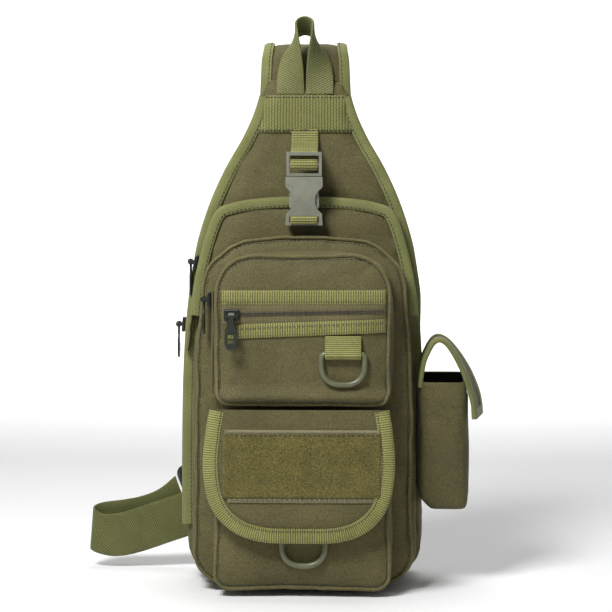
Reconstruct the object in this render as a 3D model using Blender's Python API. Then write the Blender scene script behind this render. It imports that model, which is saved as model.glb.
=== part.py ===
"""A one-shoulder sling bag: stacked compartments, pockets, webbing, zips, rings, a buckle and a folded strap.

The bag stands on its flat base with the origin in the middle of that base. +Z is up, the front faces -Y,
and +X is to the right as the front is seen. Every moving piece has its origin on its joint's axis.
"""

import math

import bmesh
import bpy
from mathutils import Vector

MM = 0.001

# Driving dimensions
GAP = 0.4 * MM  # between touching pieces
BACK_Y = 30 * MM  # plane where the main compartment meets the back padding
PAD_DEPTH = 8 * MM  # back padding, and the shoulder pad
NECK_TOP = 377 * MM
ARCH_TOP = 272 * MM  # top of the second compartment
FRONT_TOP = 249.5 * MM  # top of the front compartment
POCKET_HALF = 62 * MM  # half width of both front pockets
UPPER_POCKET_Z = (132 * MM, 236 * MM)
LOWER_POCKET_Z = (8 * MM, 122 * MM)
FLAP_PIVOT_Z = 130 * MM
FLAP_BOTTOM = 39 * MM
WEBBING = 1.6 * MM  # thickness of the woven tapes
STRAP_WIDTH = 32 * MM  # sling webbing
BUCKLE_WEBBING = 20 * MM
RING_WEBBING = 25 * MM
RING_WIRE = 2.0 * MM  # radius of a D-ring's wire
PIPING = 1.6 * MM  # radius of the piping cords
BINDING = 1.4 * MM  # thickness of the tape that binds an edge
SLIDER_LENGTH = 11 * MM
PULL_LENGTH = 24 * MM

# Front faces of the layers: depth at the base, and how far each leans back per unit of height
MAIN_FACE = (-12 * MM, 0.09)
SECOND_FACE = (-28 * MM, 0.11)
FRONT_FACE = (-45 * MM, 0.12)
POCKET_FACE = (-64 * MM, 0.10)
FLAP_STAND_OFF = (2.0 * MM, 9.0 * MM)  # flap's gap to the pocket at its pivot and at its lower edge

FABRIC = (0.115, 0.105, 0.052)
WEBBING_COLOUR = (0.235, 0.235, 0.085)
PLASTIC = (0.12, 0.125, 0.085)
GUNMETAL = (0.05, 0.055, 0.045)
BACK_MESH = (0.05, 0.05, 0.035)
PIPING_COLOUR = (0.15, 0.135, 0.06)
LOOP_PATCH = (0.13, 0.115, 0.035)
ZIP_TAPE = (0.13, 0.12, 0.07)
BLACK = (0.015, 0.015, 0.015)


# ---------------------------------------------------------------- helpers


def clear_scene():
    for obj in list(bpy.data.objects):
        bpy.data.objects.remove(obj, do_unlink=True)


def material(name, colour, roughness, metallic=0.0):
    mat = bpy.data.materials.new(name)
    mat.use_nodes = True
    shader = mat.node_tree.nodes["Principled BSDF"]
    shader.inputs["Base Color"].default_value = (*colour, 1)
    shader.inputs["Roughness"].default_value = roughness
    shader.inputs["Metallic"].default_value = metallic
    return mat


def add_object(name, bm, mat, origin=(0, 0, 0)):
    """An object whose mesh was drawn in world coordinates, with its origin moved to the given point."""
    bmesh.ops.recalc_face_normals(bm, faces=bm.faces)
    bmesh.ops.translate(bm, verts=bm.verts, vec=-Vector(origin))
    mesh = bpy.data.meshes.new(name)
    bm.to_mesh(mesh)
    bm.free()
    mesh.materials.append(mat)
    mesh.shade_smooth()
    mesh.set_sharp_from_angle(angle=math.radians(35))
    obj = bpy.data.objects.new(name, mesh)
    obj.location = origin
    bpy.context.collection.objects.link(obj)
    return obj


def bevel(obj, width, segments=2, angle=50):
    mod = obj.modifiers.new("edges", "BEVEL")
    mod.width = width
    mod.segments = segments
    mod.limit_method = "ANGLE"
    mod.angle_limit = math.radians(angle)
    return obj


def boolean(obj, other, operation):
    """Joins or cuts with a helper that stays out of the render."""
    other.hide_render = True
    other.display_type = "WIRE"
    mod = obj.modifiers.new(operation.lower(), "BOOLEAN")
    mod.operation = operation
    mod.object = other
    mod.solver = "EXACT"
    return obj


def points_mm(*pairs):
    """Points in a plane, given in millimetres."""
    return [Vector(pair) * MM for pair in pairs]


def left_of(right):
    """The left-hand copy of a path on the right, run the other way."""
    return [Vector((-p.x, p.y)) for p in reversed(right)]


def plane(face, off=0.0):
    """Depth of a leaning face as a function of height; off moves it out to the front."""
    at_base, lean = face
    return lambda z: at_base + lean * z - off


def flat(y):
    return lambda z: y


def smooth_path(points, steps=3):
    """A Catmull-Rom curve through the points."""
    points = [Vector(p) for p in points]
    ends = [2 * points[0] - points[1], *points, 2 * points[-1] - points[-2]]
    path = []
    for a, b, c, d in zip(ends, ends[1:], ends[2:], ends[3:]):
        slope, bend, twist = c - a, 2 * a - 5 * b + 4 * c - d, 3 * b - a - 3 * c + d
        shares = [i / steps for i in range(steps)]
        path += [b + 0.5 * (slope * t + bend * t**2 + twist * t**3) for t in shares]
    return [*path, points[-1]]


def angles(step, count, start=0):
    """Evenly spaced angles in radians, from a step in degrees."""
    return [math.radians(start + step * k) for k in range(count)]


def arc(centre, radius, start, end, steps=5):
    """Points on a circle from one angle to another, in degrees."""
    turns = angles((end - start) / steps, steps + 1, start)
    return [Vector((centre[0] + radius * math.cos(a), centre[1] + radius * math.sin(a))) for a in turns]


def half_width_at(half, z):
    """Where the right half of an outline, given from the bottom up, crosses a height."""
    for low, high in zip(half, half[1:]):
        if low.y <= z <= high.y:
            share = (z - low.y) / (high.y - low.y)
            return low.x + share * (high.x - low.x)
    return half[-1].x


def mirrored(right):
    """A closed outline from its right half, given from the bottom up."""
    return [*right, *[p for p in left_of(right) if abs(p.x) > 1e-6]]


def offset(path, distance, closed=False):
    """A path moved sideways; a positive distance moves a counter-clockwise outline outwards."""
    moved = []
    last = len(path) - 1
    for i, point in enumerate(path):
        before = path[i - 1] if i or closed else point
        after = path[(i + 1) % len(path)] if i < last or closed else point
        along = (after - before).normalized()
        moved.append(point + distance * Vector((along.y, -along.x)))
    return moved


def rounded_box(half, low, high, radius_low, radius_high):
    """A rectangle's outline with round corners, in X and Z."""
    right = [
        *arc((half - radius_low, low + radius_low), radius_low, -90, 0),
        *arc((half - radius_high, high - radius_high), radius_high, 0, 90),
    ]
    return mirrored(right)


def slab(name, outline, front, back, mat, edge=0.0, origin=(0, 0, 0)):
    """A panel or pouch: an outline in X and Z between a front and a back face."""
    bm = bmesh.new()
    rings = [[bm.verts.new((p.x, face(p.y), p.y)) for p in outline] for face in (front, back)]
    bm.faces.new(rings[0])
    bm.faces.new(list(reversed(rings[1])))
    count = len(outline)
    for i in range(count):
        j = (i + 1) % count
        bm.faces.new((rings[0][j], rings[0][i], rings[1][i], rings[1][j]))
    obj = add_object(name, bm, mat, origin)
    return bevel(obj, edge) if edge else obj


def edge_band(name, path, inner, outer, front, back, mat, origin=(0, 0, 0)):
    """A tape that follows an open path, between two sideways offsets and two depths."""
    outline = [*offset(path, outer), *reversed(offset(path, inner))]
    bm = bmesh.new()
    count = len(path)
    rings = [[bm.verts.new((p.x, face(p.y), p.y)) for p in outline] for face in (front, back)]
    total = 2 * count
    for i in range(total):
        j = (i + 1) % total
        bm.faces.new((rings[0][j], rings[0][i], rings[1][i], rings[1][j]))
    for i in range(count - 1):
        quad = (i, i + 1, total - 2 - i, total - 1 - i)
        bm.faces.new([rings[0][k] for k in quad])
        bm.faces.new([rings[1][k] for k in reversed(quad)])
    return add_object(name, bm, mat, origin)


def tube(name, points, radius, mat, closed=False, origin=(0, 0, 0), resolution=1):
    """A round cord or wire along the points."""
    curve = bpy.data.curves.new(name, "CURVE")
    curve.dimensions = "3D"
    curve.bevel_depth = radius
    curve.bevel_resolution = resolution
    curve.use_fill_caps = not closed
    spline = curve.splines.new("POLY")
    spline.points.add(len(points) - 1)
    for target, point in zip(spline.points, points):
        target.co = (*(Vector(point) - Vector(origin)), 1)
    spline.use_cyclic_u = closed
    spline.use_smooth = True
    curve.materials.append(mat)
    obj = bpy.data.objects.new(name, curve)
    obj.location = origin
    bpy.context.collection.objects.link(obj)
    return obj


def ribbon(name, centres, across, thickness, width, mat, origin=(0, 0, 0)):
    """Flat webbing along centres, with its width along the given directions."""
    centres = [Vector(c) for c in centres]
    across = [Vector(a).normalized() for a in across]
    bm = bmesh.new()
    rings = []
    for i, (centre, side) in enumerate(zip(centres, across)):
        along = (centres[min(i + 1, len(centres) - 1)] - centres[max(i - 1, 0)]).normalized()
        normal = along.cross(side).normalized() * thickness / 2
        half = side * width / 2
        offsets = (half + normal, normal - half, -half - normal, half - normal)
        rings.append([bm.verts.new(centre + o) for o in offsets])
    bm.faces.new(rings[0])
    bm.faces.new(list(reversed(rings[-1])))
    for a, b in zip(rings, rings[1:]):
        for i in range(4):
            j = (i + 1) % 4
            bm.faces.new((a[i], a[j], b[j], b[i]))
    return add_object(name, bm, mat, origin)


def piping_cord(name, route, face, mat, closed=False):
    return tube(name, [(p.x, face(p.y), p.y) for p in route], PIPING, mat, closed)


def box(name, low, high, mat, origin=(0, 0, 0)):
    bm = bmesh.new()
    bmesh.ops.create_cube(bm, size=1)
    low, high = Vector(low), Vector(high)
    for vert in bm.verts:
        vert.co = Vector(lo + (c + 0.5) * (hi - lo) for lo, hi, c in zip(low, high, vert.co))
    return add_object(name, bm, mat, origin)


def prism(name, profile, axis, start, end, mat, origin=(0, 0, 0)):
    """A profile drawn in Z and the other level axis, extruded along X (0) or Y (1)."""
    bm = bmesh.new()
    place = (lambda p, s: (s, *p)) if axis == 0 else (lambda p, s: (p[0], s, p[1]))
    rings = [[bm.verts.new(place(p, s)) for p in profile] for s in (start, end)]
    bm.faces.new(rings[0])
    bm.faces.new(list(reversed(rings[1])))
    for i in range(len(profile)):
        j = (i + 1) % len(profile)
        bm.faces.new((rings[0][j], rings[0][i], rings[1][i], rings[1][j]))
    return add_object(name, bm, mat, origin)


# ---------------------------------------------------------------- outlines


def body_half():
    """Right half of the bag's outline, from the base to the top of the neck."""
    low = points_mm((85, 26), (86, 60), (85.5, 142), (83, 190), (78, 227), (74, 246))
    shoulder = points_mm((66, 270), (55.5, 293), (41, 319), (33, 345), (30, 377))
    corner = arc((60 * MM, 25 * MM), 25 * MM, -90, -10, 4)
    return [*corner, *smooth_path([*low, *shoulder], 2)]


def arch_half(half, shoulder, top, base, radius):
    """Right half of a compartment that ends in a flat arch."""
    side = [
        (half, base + radius), (half + 0.5 * MM, 142 * MM), (half - 3 * MM, 190 * MM),
        (half - 7.5 * MM, 222 * MM), (shoulder, top - 13 * MM),
        (shoulder - 13 * MM, top - 4.5 * MM), (shoulder - 38 * MM, top - 0.8 * MM), (0, top),
    ]
    corner = arc((half - radius, base + radius), radius, -90, -10, 4)
    return [*corner, *smooth_path(side, 3)]


def second_half():
    return arch_half(82.5 * MM, 64 * MM, ARCH_TOP, 1 * MM, 24 * MM)


# ---------------------------------------------------------------- shell of the bag


def bag_body(fabric, mesh_fabric, webbing, piping):
    outline = mirrored(body_half())
    slab("main_compartment", outline, plane(MAIN_FACE), flat(BACK_Y), fabric, 2.5 * MM)
    padding = [p for p in offset(body_half(), -4.5 * MM) if p.y < 345 * MM]
    slab("back_panel", mirrored(padding), flat(BACK_Y + GAP), flat(BACK_Y + PAD_DEPTH), mesh_fabric, 2 * MM)
    second = second_half()
    slab("second_compartment", mirrored(second), plane(SECOND_FACE), plane(MAIN_FACE, GAP), fabric, 2 * MM)
    front = arch_half(81 * MM, 62 * MM, FRONT_TOP, 1 * MM, 24 * MM)
    slab("front_compartment", mirrored(front), plane(FRONT_FACE), plane(SECOND_FACE, GAP), fabric, 2.5 * MM)

    edge = [p for p in body_half() if p.y > 198 * MM]
    near, far = plane(MAIN_FACE, -BINDING), flat(BACK_Y + 1 * MM)
    for side, path in (("right", edge), ("left", left_of(edge))):
        edge_band(f"body_binding_{side}", path, GAP, GAP + BINDING, near, far, webbing)
    arch = [p for p in second if p.y > 190 * MM]
    near, far = plane(SECOND_FACE, 1.0 * MM), plane(SECOND_FACE, -2.8 * MM)
    edge_band("second_binding", [*arch, *left_of(arch[:-1])], GAP, GAP + BINDING, near, far, webbing)
    rim = [p for p in front if p.y > 20 * MM]
    route = offset([*rim, *left_of(rim[:-1])], PIPING + GAP)
    piping_cord("front_piping", route, plane(FRONT_FACE, -1.2 * MM), piping)


def front_pockets(fabric, piping, webbing, patch):
    low, high = UPPER_POCKET_Z
    upper = rounded_box(POCKET_HALF, low, high, 9 * MM, 27 * MM)
    slab("upper_pocket", upper, plane(POCKET_FACE), plane(FRONT_FACE, GAP), fabric, 2.5 * MM)
    place = plane(POCKET_FACE, -1.0 * MM)
    piping_cord("upper_pocket_piping", offset(upper, PIPING + GAP, closed=True), place, piping, closed=True)

    low, high = LOWER_POCKET_Z
    outline = rounded_box(POCKET_HALF, low, high, 9 * MM, 2 * MM)
    pocket = slab("lower_pocket", outline, plane(POCKET_FACE), plane(FRONT_FACE, GAP), fabric)
    wall = 1.4 * MM
    hollow = rounded_box(POCKET_HALF - wall, low + wall, high + 20 * MM, 7 * MM, 2 * MM)
    near, far = plane(POCKET_FACE, -wall), plane(FRONT_FACE, GAP + wall)
    boolean(pocket, slab("lower_pocket_hollow", hollow, near, far, fabric), "DIFFERENCE")
    corner = [p for p in outline if p.x >= 0 and p.y < high / 2]
    side = [*corner, *points_mm((62, 64), (62, 111))]
    piping_cord("lower_pocket_piping", offset([*left_of(side), *side], PIPING + GAP), place, piping)
    hem = rounded_box(POCKET_HALF - 1 * MM, high - 9 * MM, high - 1 * MM, 0.5 * MM, 0.5 * MM)
    slab("pocket_hem", hem, plane(POCKET_FACE, 1.3 * MM), plane(POCKET_FACE, GAP), webbing)
    loop_patch = rounded_box(35 * MM, 62 * MM, 87 * MM, 2 * MM, 2 * MM)
    slab("pocket_loop_patch", loop_patch, plane(POCKET_FACE, 1.6 * MM), plane(POCKET_FACE, GAP), patch)


def pocket_strips(webbing, zip_tape, metal):
    """The two webbing strips and the zip between them, across the upper pocket."""
    strips = (
        ("strip_upper", ((-56, 200.5), (58, 201), (58, 211), (-56, 210.5)), 1.6, webbing),
        ("strip_lower", ((-52, 177), (58, 181.5), (58, 191), (-52, 187)), 1.6, webbing),
        ("pocket_zip_tape", ((-56, 188), (58, 192), (58, 200.2), (-56, 199.7)), 1.0, zip_tape),
    )
    for name, corners, height, mat in strips:
        slab(name, points_mm(*corners), plane(POCKET_FACE, height * MM), plane(POCKET_FACE, GAP), mat)
    place = plane(POCKET_FACE, 1.8 * MM)
    ends = points_mm((-42, 194), (56, 196))
    tube("pocket_zip_coil", [(p.x, place(p.y), p.y) for p in ends], 0.6 * MM, metal, resolution=0)


# ---------------------------------------------------------------- neck and handle


def neck(webbing):
    corners = points_mm((-33, 319), (33, 319), (26, 345), (-26, 345))
    slab("neck_band", corners, plane(MAIN_FACE, GAP + WEBBING), plane(MAIN_FACE, GAP), webbing)


def handle(webbing):
    """A webbing loop: both ends are sewn flat side by side, and it turns edge-on towards its top."""
    base_z, top_z = 346.5 * MM, 396 * MM
    foot = 10.4 * MM  # half the distance between the two sewn ends
    bend = 6.2 * MM  # radius of the bow at the top
    width = 19.6 * MM
    tip_back = math.radians(40)  # how far the loop leans back at its top
    face = plane(MAIN_FACE, 1.4 * MM)
    leg, across = [], []
    for t in (i / 8 for i in range(9)):
        z = base_z + t * (top_z - bend - base_z)
        turn = math.radians(90) * t**1.5
        lean = tip_back * t**3
        reach = width / 2 * math.sin(turn)
        leg.append(Vector((foot + (bend - foot) * t**3, face(min(z, NECK_TOP)) - reach, z)))
        edge_on = Vector((0, math.cos(lean), -math.sin(lean)))
        across.append(Vector((math.cos(turn), 0, 0)) + math.sin(turn) * edge_on)
    bow = []
    for angle in angles(30, 5, 30):
        side, rise = bend * (math.cos(angle) - 1), bend * math.sin(angle)
        bow.append(leg[-1] + Vector((side, rise * math.sin(tip_back), rise * math.cos(tip_back))))
    centres = [*leg, *bow, *[Vector((-c.x, c.y, c.z)) for c in reversed(leg)]]
    turns = [*across, *[across[-1]] * len(bow), *[Vector((-a.x, a.y, a.z)) for a in reversed(across)]]
    ribbon("handle_loop", centres, turns, WEBBING, width, webbing, (0, face(base_z), base_z))


# ---------------------------------------------------------------- buckle


BUCKLE_Y = -9.5 * MM  # middle of the buckle's thickness
SOCKET_HALF_DEPTH = 4.2 * MM
SOCKET_Z = (254 * MM, 288 * MM)
PLUG_LOW = SOCKET_Z[1] + GAP
PLUG_TOP = 305.5 * MM
BAR_Z = PLUG_LOW + 8.1 * MM  # the ladder's middle bar, which the strap goes round
BUCKLE_TAPE = BUCKLE_WEBBING - 2 * GAP


def buckle_block(name, half_width, half_depth, low, high, mat, origin=(0, 0, 0)):
    """A box centred on the buckle's middle plane."""
    corner = (half_width, BUCKLE_Y + half_depth, high)
    return box(name, (-half_width, BUCKLE_Y - half_depth, low), corner, mat, origin)


def buckle_socket(plastic):
    """A flat case, open at the top, with a waist that shows the latch arms and a webbing slot at its foot."""
    low, high = SOCKET_Z
    waist = points_mm((13, 34), (13, 27), (10.5, 24.5), (8, 21), (7.7, 15), (9.5, 11), (12.6, 8), (13, 0))
    waist = [p + Vector((0, low)) for p in waist]
    near, far = flat(BUCKLE_Y - SOCKET_HALF_DEPTH), flat(BUCKLE_Y + SOCKET_HALF_DEPTH)
    socket = slab("buckle_socket", [*waist, *left_of(waist)], near, far, plastic)
    hollow = buckle_block("socket_hollow", 10.9 * MM, 2.9 * MM, low + 7.6 * MM, high + 5 * MM, plastic)
    boolean(socket, hollow, "DIFFERENCE")
    slot = buckle_block("socket_slot", 10.4 * MM, 9 * MM, low + 2.4 * MM, low + 6.4 * MM, plastic)
    boolean(socket, slot, "DIFFERENCE")


def buckle_plug(plastic):
    """The ladder with its two slots, and the guide that runs down into the socket."""
    origin = (0, BUCKLE_Y, PLUG_LOW)
    frame = buckle_block("buckle_plug", 12.4 * MM, 2.6 * MM, PLUG_LOW, PLUG_TOP, plastic, origin)
    for name, start, end in (("ladder_slot_low", 2.0, 6.6), ("ladder_slot_high", 9.6, 14.6)):
        slot = buckle_block(name, 10.3 * MM, 9 * MM, PLUG_LOW + start * MM, PLUG_LOW + end * MM, plastic)
        boolean(frame, slot, "DIFFERENCE")
    guide_low = SOCKET_Z[1] - 17 * MM
    guide = buckle_block("plug_guide", 2.2 * MM, 1.4 * MM, guide_low, PLUG_LOW + 1 * MM, plastic)
    boolean(frame, guide, "UNION")


def latches(plastic):
    """The two arms that flex inwards when they are squeezed at the waist."""
    root = SOCKET_Z[1] - 0.4 * MM
    outside = ((8.6, 0), (9, -8.6), (10.4, -11.6), (10.5, -20.6), (7.6, -25.1))
    arm = (*outside, (6.2, -25.1), (7.4, -11.6), (6.4, 0))
    for name, side in (("latch_left", -1), ("latch_right", 1)):
        profile = [(side * x * MM, root + z * MM) for x, z in arm]
        origin = (side * 7.5 * MM, BUCKLE_Y, root)
        prism(name, profile, 1, BUCKLE_Y - 2.0 * MM, BUCKLE_Y + 2.0 * MM, plastic, origin)


def buckle_tapes(webbing):
    """The strap from the neck to the ladder, its turn round the bar, and the tab that holds the socket."""
    face = plane(MAIN_FACE, GAP + WEBBING / 2)
    top = 317.8 * MM
    route = smooth_path(
        [
            (face(top), top),
            (face(top) - 6 * MM, 312 * MM),
            (BUCKLE_Y + 6 * MM, PLUG_TOP + 1 * MM),
            (BUCKLE_Y + 4.4 * MM, PLUG_TOP - 2.5 * MM),
        ],
        2,
    )
    across = [(1, 0, 0)] * len(route)
    centres = [(0, p.x, p.y) for p in route]
    ribbon("compression_strap", centres, across, WEBBING, BUCKLE_TAPE, webbing, (0, face(top), top))

    near, far = BUCKLE_Y - 4.9 * MM, BUCKLE_Y - 3.1 * MM
    low, high = BAR_Z - 3.2 * MM, BAR_Z + 2.9 * MM
    fold = ((far, high), (far, low), (near, low), (near, high))
    prism("strap_fold", fold, 0, -BUCKLE_TAPE / 2, BUCKLE_TAPE / 2, webbing, (0, BUCKLE_Y, BAR_Z))

    tab_face = plane(SECOND_FACE, GAP + WEBBING / 2)
    slot_z = SOCKET_Z[0] + 4.4 * MM
    centres = [
        (0, tab_face(FRONT_TOP + 11.2 * MM), FRONT_TOP + 13.2 * MM),
        (0, tab_face(FRONT_TOP + 7.2 * MM) - 1.2 * MM, slot_z + 0.4 * MM),
        (0, BUCKLE_Y - SOCKET_HALF_DEPTH - 0.4 * MM, slot_z - 0.2 * MM),
    ]
    ribbon("buckle_tab", centres, [(1, 0, 0)] * len(centres), WEBBING, BUCKLE_TAPE, webbing)


def buckle(plastic, webbing):
    buckle_socket(plastic)
    buckle_plug(plastic)
    latches(plastic)
    buckle_tapes(webbing)


# ---------------------------------------------------------------- zips


BAR_HEIGHT = 5.0 * MM  # the pull's pivot above the back of its slider
ZIP_TAPE_HALF = 3.2 * MM


def slider(name, place, along, out, bar, metal):
    """A zip slider: a wedge along the zip, with a bridge whose bar carries the pull. It returns the pivot."""
    along, out, bar = Vector(along).normalized(), Vector(out).normalized(), Vector(bar).normalized()
    place = Vector(place)

    def block(tag, x, y, z, first=bar):
        second = out.cross(first)
        bm = bmesh.new()
        bmesh.ops.create_cube(bm, size=1)
        for vert in bm.verts:
            c = [lo + (v + 0.5) * (hi - lo) for (lo, hi), v in zip((x, y, z), vert.co)]
            vert.co = place + (first * c[0] + second * c[1] + out * c[2]) * MM
        return add_object(tag, bm, metal, place)

    half = SLIDER_LENGTH / MM / 2
    base = block(name, (-half, half), (-4.2, 4.2), (0, 2.6), along)
    bevel(base, 1.0 * MM)
    for tag, start in (("post_a", -4.2), ("post_b", 2.6)):
        boolean(base, block(f"{name}_{tag}", (start, start + 1.6), (-1.2, 1.2), (1.5, 5.6)), "UNION")
    boolean(base, block(f"{name}_bar", (-4.2, 4.2), (-0.8, 0.8), (4.2, 5.8)), "UNION")
    return place + out * BAR_HEIGHT


def pull(name, pivot, down, out, metal):
    """A pull tab that hangs from the slider's bar: an eye round the bar, and a plate with a window."""
    down, out = Vector(down).normalized(), Vector(out).normalized()
    side = down.cross(out)
    pivot = Vector(pivot)

    def solid(tag, profile, start, end, directions):
        """A profile in millimetres along the first two directions, extruded along the third."""
        first, second, third = directions
        bm = bmesh.new()
        rings = [
            [bm.verts.new(pivot + (first * p[0] + second * p[1] + third * w) * MM) for p in profile]
            for w in (start, end)
        ]
        bm.faces.new(rings[0])
        bm.faces.new(list(reversed(rings[1])))
        for i in range(len(profile)):
            j = (i + 1) % len(profile)
            bm.faces.new((rings[0][j], rings[0][i], rings[1][i], rings[1][j]))
        return add_object(tag, bm, metal, pivot)

    def disc(tag, radius, half_length):
        circle = arc((0, 0), radius, 0, 330, 11)
        return solid(tag, circle, -half_length, half_length, (down, out, side))

    length = PULL_LENGTH / MM
    right = [(2.0, 1.6), (2.4, 7), (4.3, 10), (4.5, length - 3), (2.6, length)]
    outline = [*right, *[(-x, y) for x, y in reversed(right)]]
    plate = solid(name, outline, -0.8, 0.8, (side, down, out))
    bevel(plate, 0.4 * MM, 1)
    window = [(-2.2, 13.5), (2.2, 13.5), (2.2, 19.5), (-2.2, 19.5)]
    boolean(plate, solid(f"{name}_window", window, -3, 3, (side, down, out)), "DIFFERENCE")
    boolean(plate, disc(f"{name}_eye", 2.3, 2.0), "UNION")
    boolean(plate, disc(f"{name}_hole", 1.35, 4.0), "DIFFERENCE")


def side_zip(name, half, near, far, span, at, metal, tape):
    """A zip along the left side, midway between two leaning faces: its tape, slider and pull."""
    low, high = (s * MM for s in span)
    path = left_of([p for p in half if low <= p.y <= high])
    at_base, above_base = ((near(h) + far(h)) / 2 for h in (0, 1))
    centre = (at_base, above_base - at_base)
    front, back = plane(centre, ZIP_TAPE_HALF), plane(centre, -ZIP_TAPE_HALF)
    edge_band(f"{name}_tape", path, GAP, GAP + 0.8 * MM, front, back, tape)

    z = at * MM
    above = half_width_at(half, z + SLIDER_LENGTH / 2)
    below = half_width_at(half, z - SLIDER_LENGTH / 2)
    along = Vector((below - above, centre[1] * SLIDER_LENGTH, SLIDER_LENGTH))
    left = Vector((-1, 0, 0))
    out = left - along * (left.dot(along) / along.length_squared)
    across = out.cross(along)
    place = (-(above + below) / 2 - 2.0 * MM - GAP, plane(centre)(z), z)
    bar = slider(f"{name}_slider", place, along, out, across, metal)
    down = left.cross(across)
    pull(f"{name}_pull", bar, down if down.z < 0 else -down, left, metal)


def zips(metal, tape):
    face = plane(POCKET_FACE, 2.6 * MM)
    x, z = -49 * MM, 193.6 * MM
    along = (1, 0, 0.02)
    bar = slider("front_zip_slider", (x, face(z), z), along, (0, -1, 0), along, metal)
    pull("front_zip_pull", bar, (0, -0.25, -1), (0, -1, 0.25), metal)

    gusset = points_mm((62, 138), (62, 209))
    near, far = plane(POCKET_FACE, -2 * MM), plane(FRONT_FACE)
    side_zip("gusset_zip", gusset, near, far, (137, 210), 203, metal, tape)
    near, far = plane(SECOND_FACE, -3.6 * MM), plane(MAIN_FACE)
    side_zip("second_zip", second_half(), near, far, (150, 250), 226, metal, tape)
    side_zip("main_zip", body_half(), plane(MAIN_FACE), flat(BACK_Y), (120, 206), 181, metal, tape)


# ---------------------------------------------------------------- rings


RING_STAND_OFF = 4.2 * MM  # wire's centre in front of the pocket's face


def circle_at(radius, centre_z, start, end, steps):
    """Points round a D-ring's bar, as distance in front of the pocket's face and height."""
    return arc((RING_STAND_OFF, centre_z), radius, start, end, steps)


def ring_tab(name, x, bar_z, tab_top, webbing):
    """Webbing that comes down the pocket, turns under the ring's bar and goes back up."""
    face = plane(POCKET_FACE)
    clear = RING_WIRE + GAP
    outside = circle_at(clear + 1.3 * MM, bar_z, -180, 0, 6)
    front = 3.6 * MM  # the two layers above the bar
    profile = [Vector((GAP, tab_top)), *outside, Vector((front, bar_z + 8 * MM)), Vector((front, tab_top))]
    half = RING_WEBBING / 2
    tab = prism(name, [(face(p.y) - p.x, p.y) for p in profile], 0, x - half, x + half, webbing)
    hole = circle_at(clear, bar_z, 0, 330, 11)
    cutter = [(face(p.y) - p.x, p.y) for p in hole]
    boolean(tab, prism(f"{name}_hole", cutter, 0, x - 2 * half, x + 2 * half, webbing), "DIFFERENCE")


def d_ring(name, x, bar_z, plastic):
    """A D of wire: a straight bar with round corners, and a deep bow below it."""
    half, drop, straight, corner = 15 * MM, 21 * MM, 6 * MM, 2.5 * MM
    low_centre, depth = bar_z - straight, drop - straight
    bow = [Vector((half * math.cos(a), low_centre - depth * math.sin(a))) for a in angles(18, 11)]
    path = [
        *arc((-half + corner, bar_z - corner), corner, 180, 90, 2),
        *arc((half - corner, bar_z - corner), corner, 90, 0, 2),
        *bow,
    ]
    face = plane(POCKET_FACE, RING_STAND_OFF)
    points = [(x + p.x, face(p.y), p.y) for p in path]
    tube(name, points, RING_WIRE, plastic, closed=True, origin=(x, face(bar_z), bar_z), resolution=2)


def rings(plastic, webbing):
    ring_tab("upper_ring_tab", 28 * MM, 167 * MM, 179.2 * MM, webbing)
    d_ring("upper_d_ring", 28 * MM, 167 * MM, plastic)
    ring_tab("lower_ring_tab", 1 * MM, 43 * MM, 58 * MM, webbing)
    d_ring("lower_d_ring", 1 * MM, 43 * MM, plastic)


# ---------------------------------------------------------------- front flap


def flap_outline():
    """Right half of the flap, from its lowest point to the pivot."""
    edge = points_mm((0, 39), (24, 39.7), (42, 45), (55, 56), (62, 71), (64.5, 92), (63, 112), (60.5, 128.6))
    return smooth_path(edge, 3)


def front_flap(fabric, webbing, patch, hook):
    top, low = FLAP_STAND_OFF
    drop = FLAP_PIVOT_Z - FLAP_BOTTOM
    lean = POCKET_FACE[1] + (low - top) / drop
    at_base = plane(POCKET_FACE, top)(FLAP_PIVOT_Z) - lean * FLAP_PIVOT_Z
    back = (at_base, lean)
    pivot = (0, plane(back)(FLAP_PIVOT_Z) - 1 * MM, FLAP_PIVOT_Z)
    thick = 2.0 * MM
    half = flap_outline()
    slab("front_flap", mirrored(half), plane(back, thick), plane(back), fabric, 0.5 * MM, pivot)
    front = thick + GAP
    near, far = plane(back, front + 1.2 * MM), plane(back, front)
    edge_band("flap_binding", [*left_of(half[1:]), *half], -9.6 * MM, 0, near, far, webbing, pivot)
    panel = rounded_box(50.4 * MM, 69 * MM, 114 * MM, 1 * MM, 1 * MM)
    slab("loop_panel", panel, plane(back, front + 1.8 * MM), far, patch, 0, pivot)
    inside = rounded_box(34 * MM, 63 * MM, 86 * MM, 2 * MM, 2 * MM)
    slab("flap_hook_patch", inside, plane(back, -GAP), plane(back, -GAP - 1.3 * MM), hook, 0, pivot)


# ---------------------------------------------------------------- side pocket


SIDE_Y = -2 * MM  # middle of the side pocket's width
SIDE_HALF = 19 * MM


def side_pocket(fabric, patch):
    """A narrow open-topped pocket on the bag's right side, with a chamfered foot."""
    low, high = 53 * MM, 150 * MM
    outer = 114.5 * MM
    wall = 1.8 * MM
    profile = points_mm((94.6, 53), (112.5, 53), (114.5, 55), (114.5, 150), (87.6, 150), (87.6, 62))
    pocket = prism("side_pocket", profile, 1, SIDE_Y - SIDE_HALF, SIDE_Y + SIDE_HALF, fabric)
    inside = points_mm((95.6, 54.8), (111.5, 54.8), (112.7, 56), (112.7, 159), (89.4, 159), (89.4, 63))
    near, far = SIDE_Y - SIDE_HALF + wall, SIDE_Y + SIDE_HALF - wall
    boolean(pocket, prism("side_pocket_hollow", inside, 1, near, far, fabric), "DIFFERENCE")
    near, far = (outer + GAP, SIDE_Y - 12 * MM, 112 * MM), (outer + 1.6 * MM, SIDE_Y + 12 * MM, 134 * MM)
    box("side_loop_patch", near, far, patch)


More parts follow.
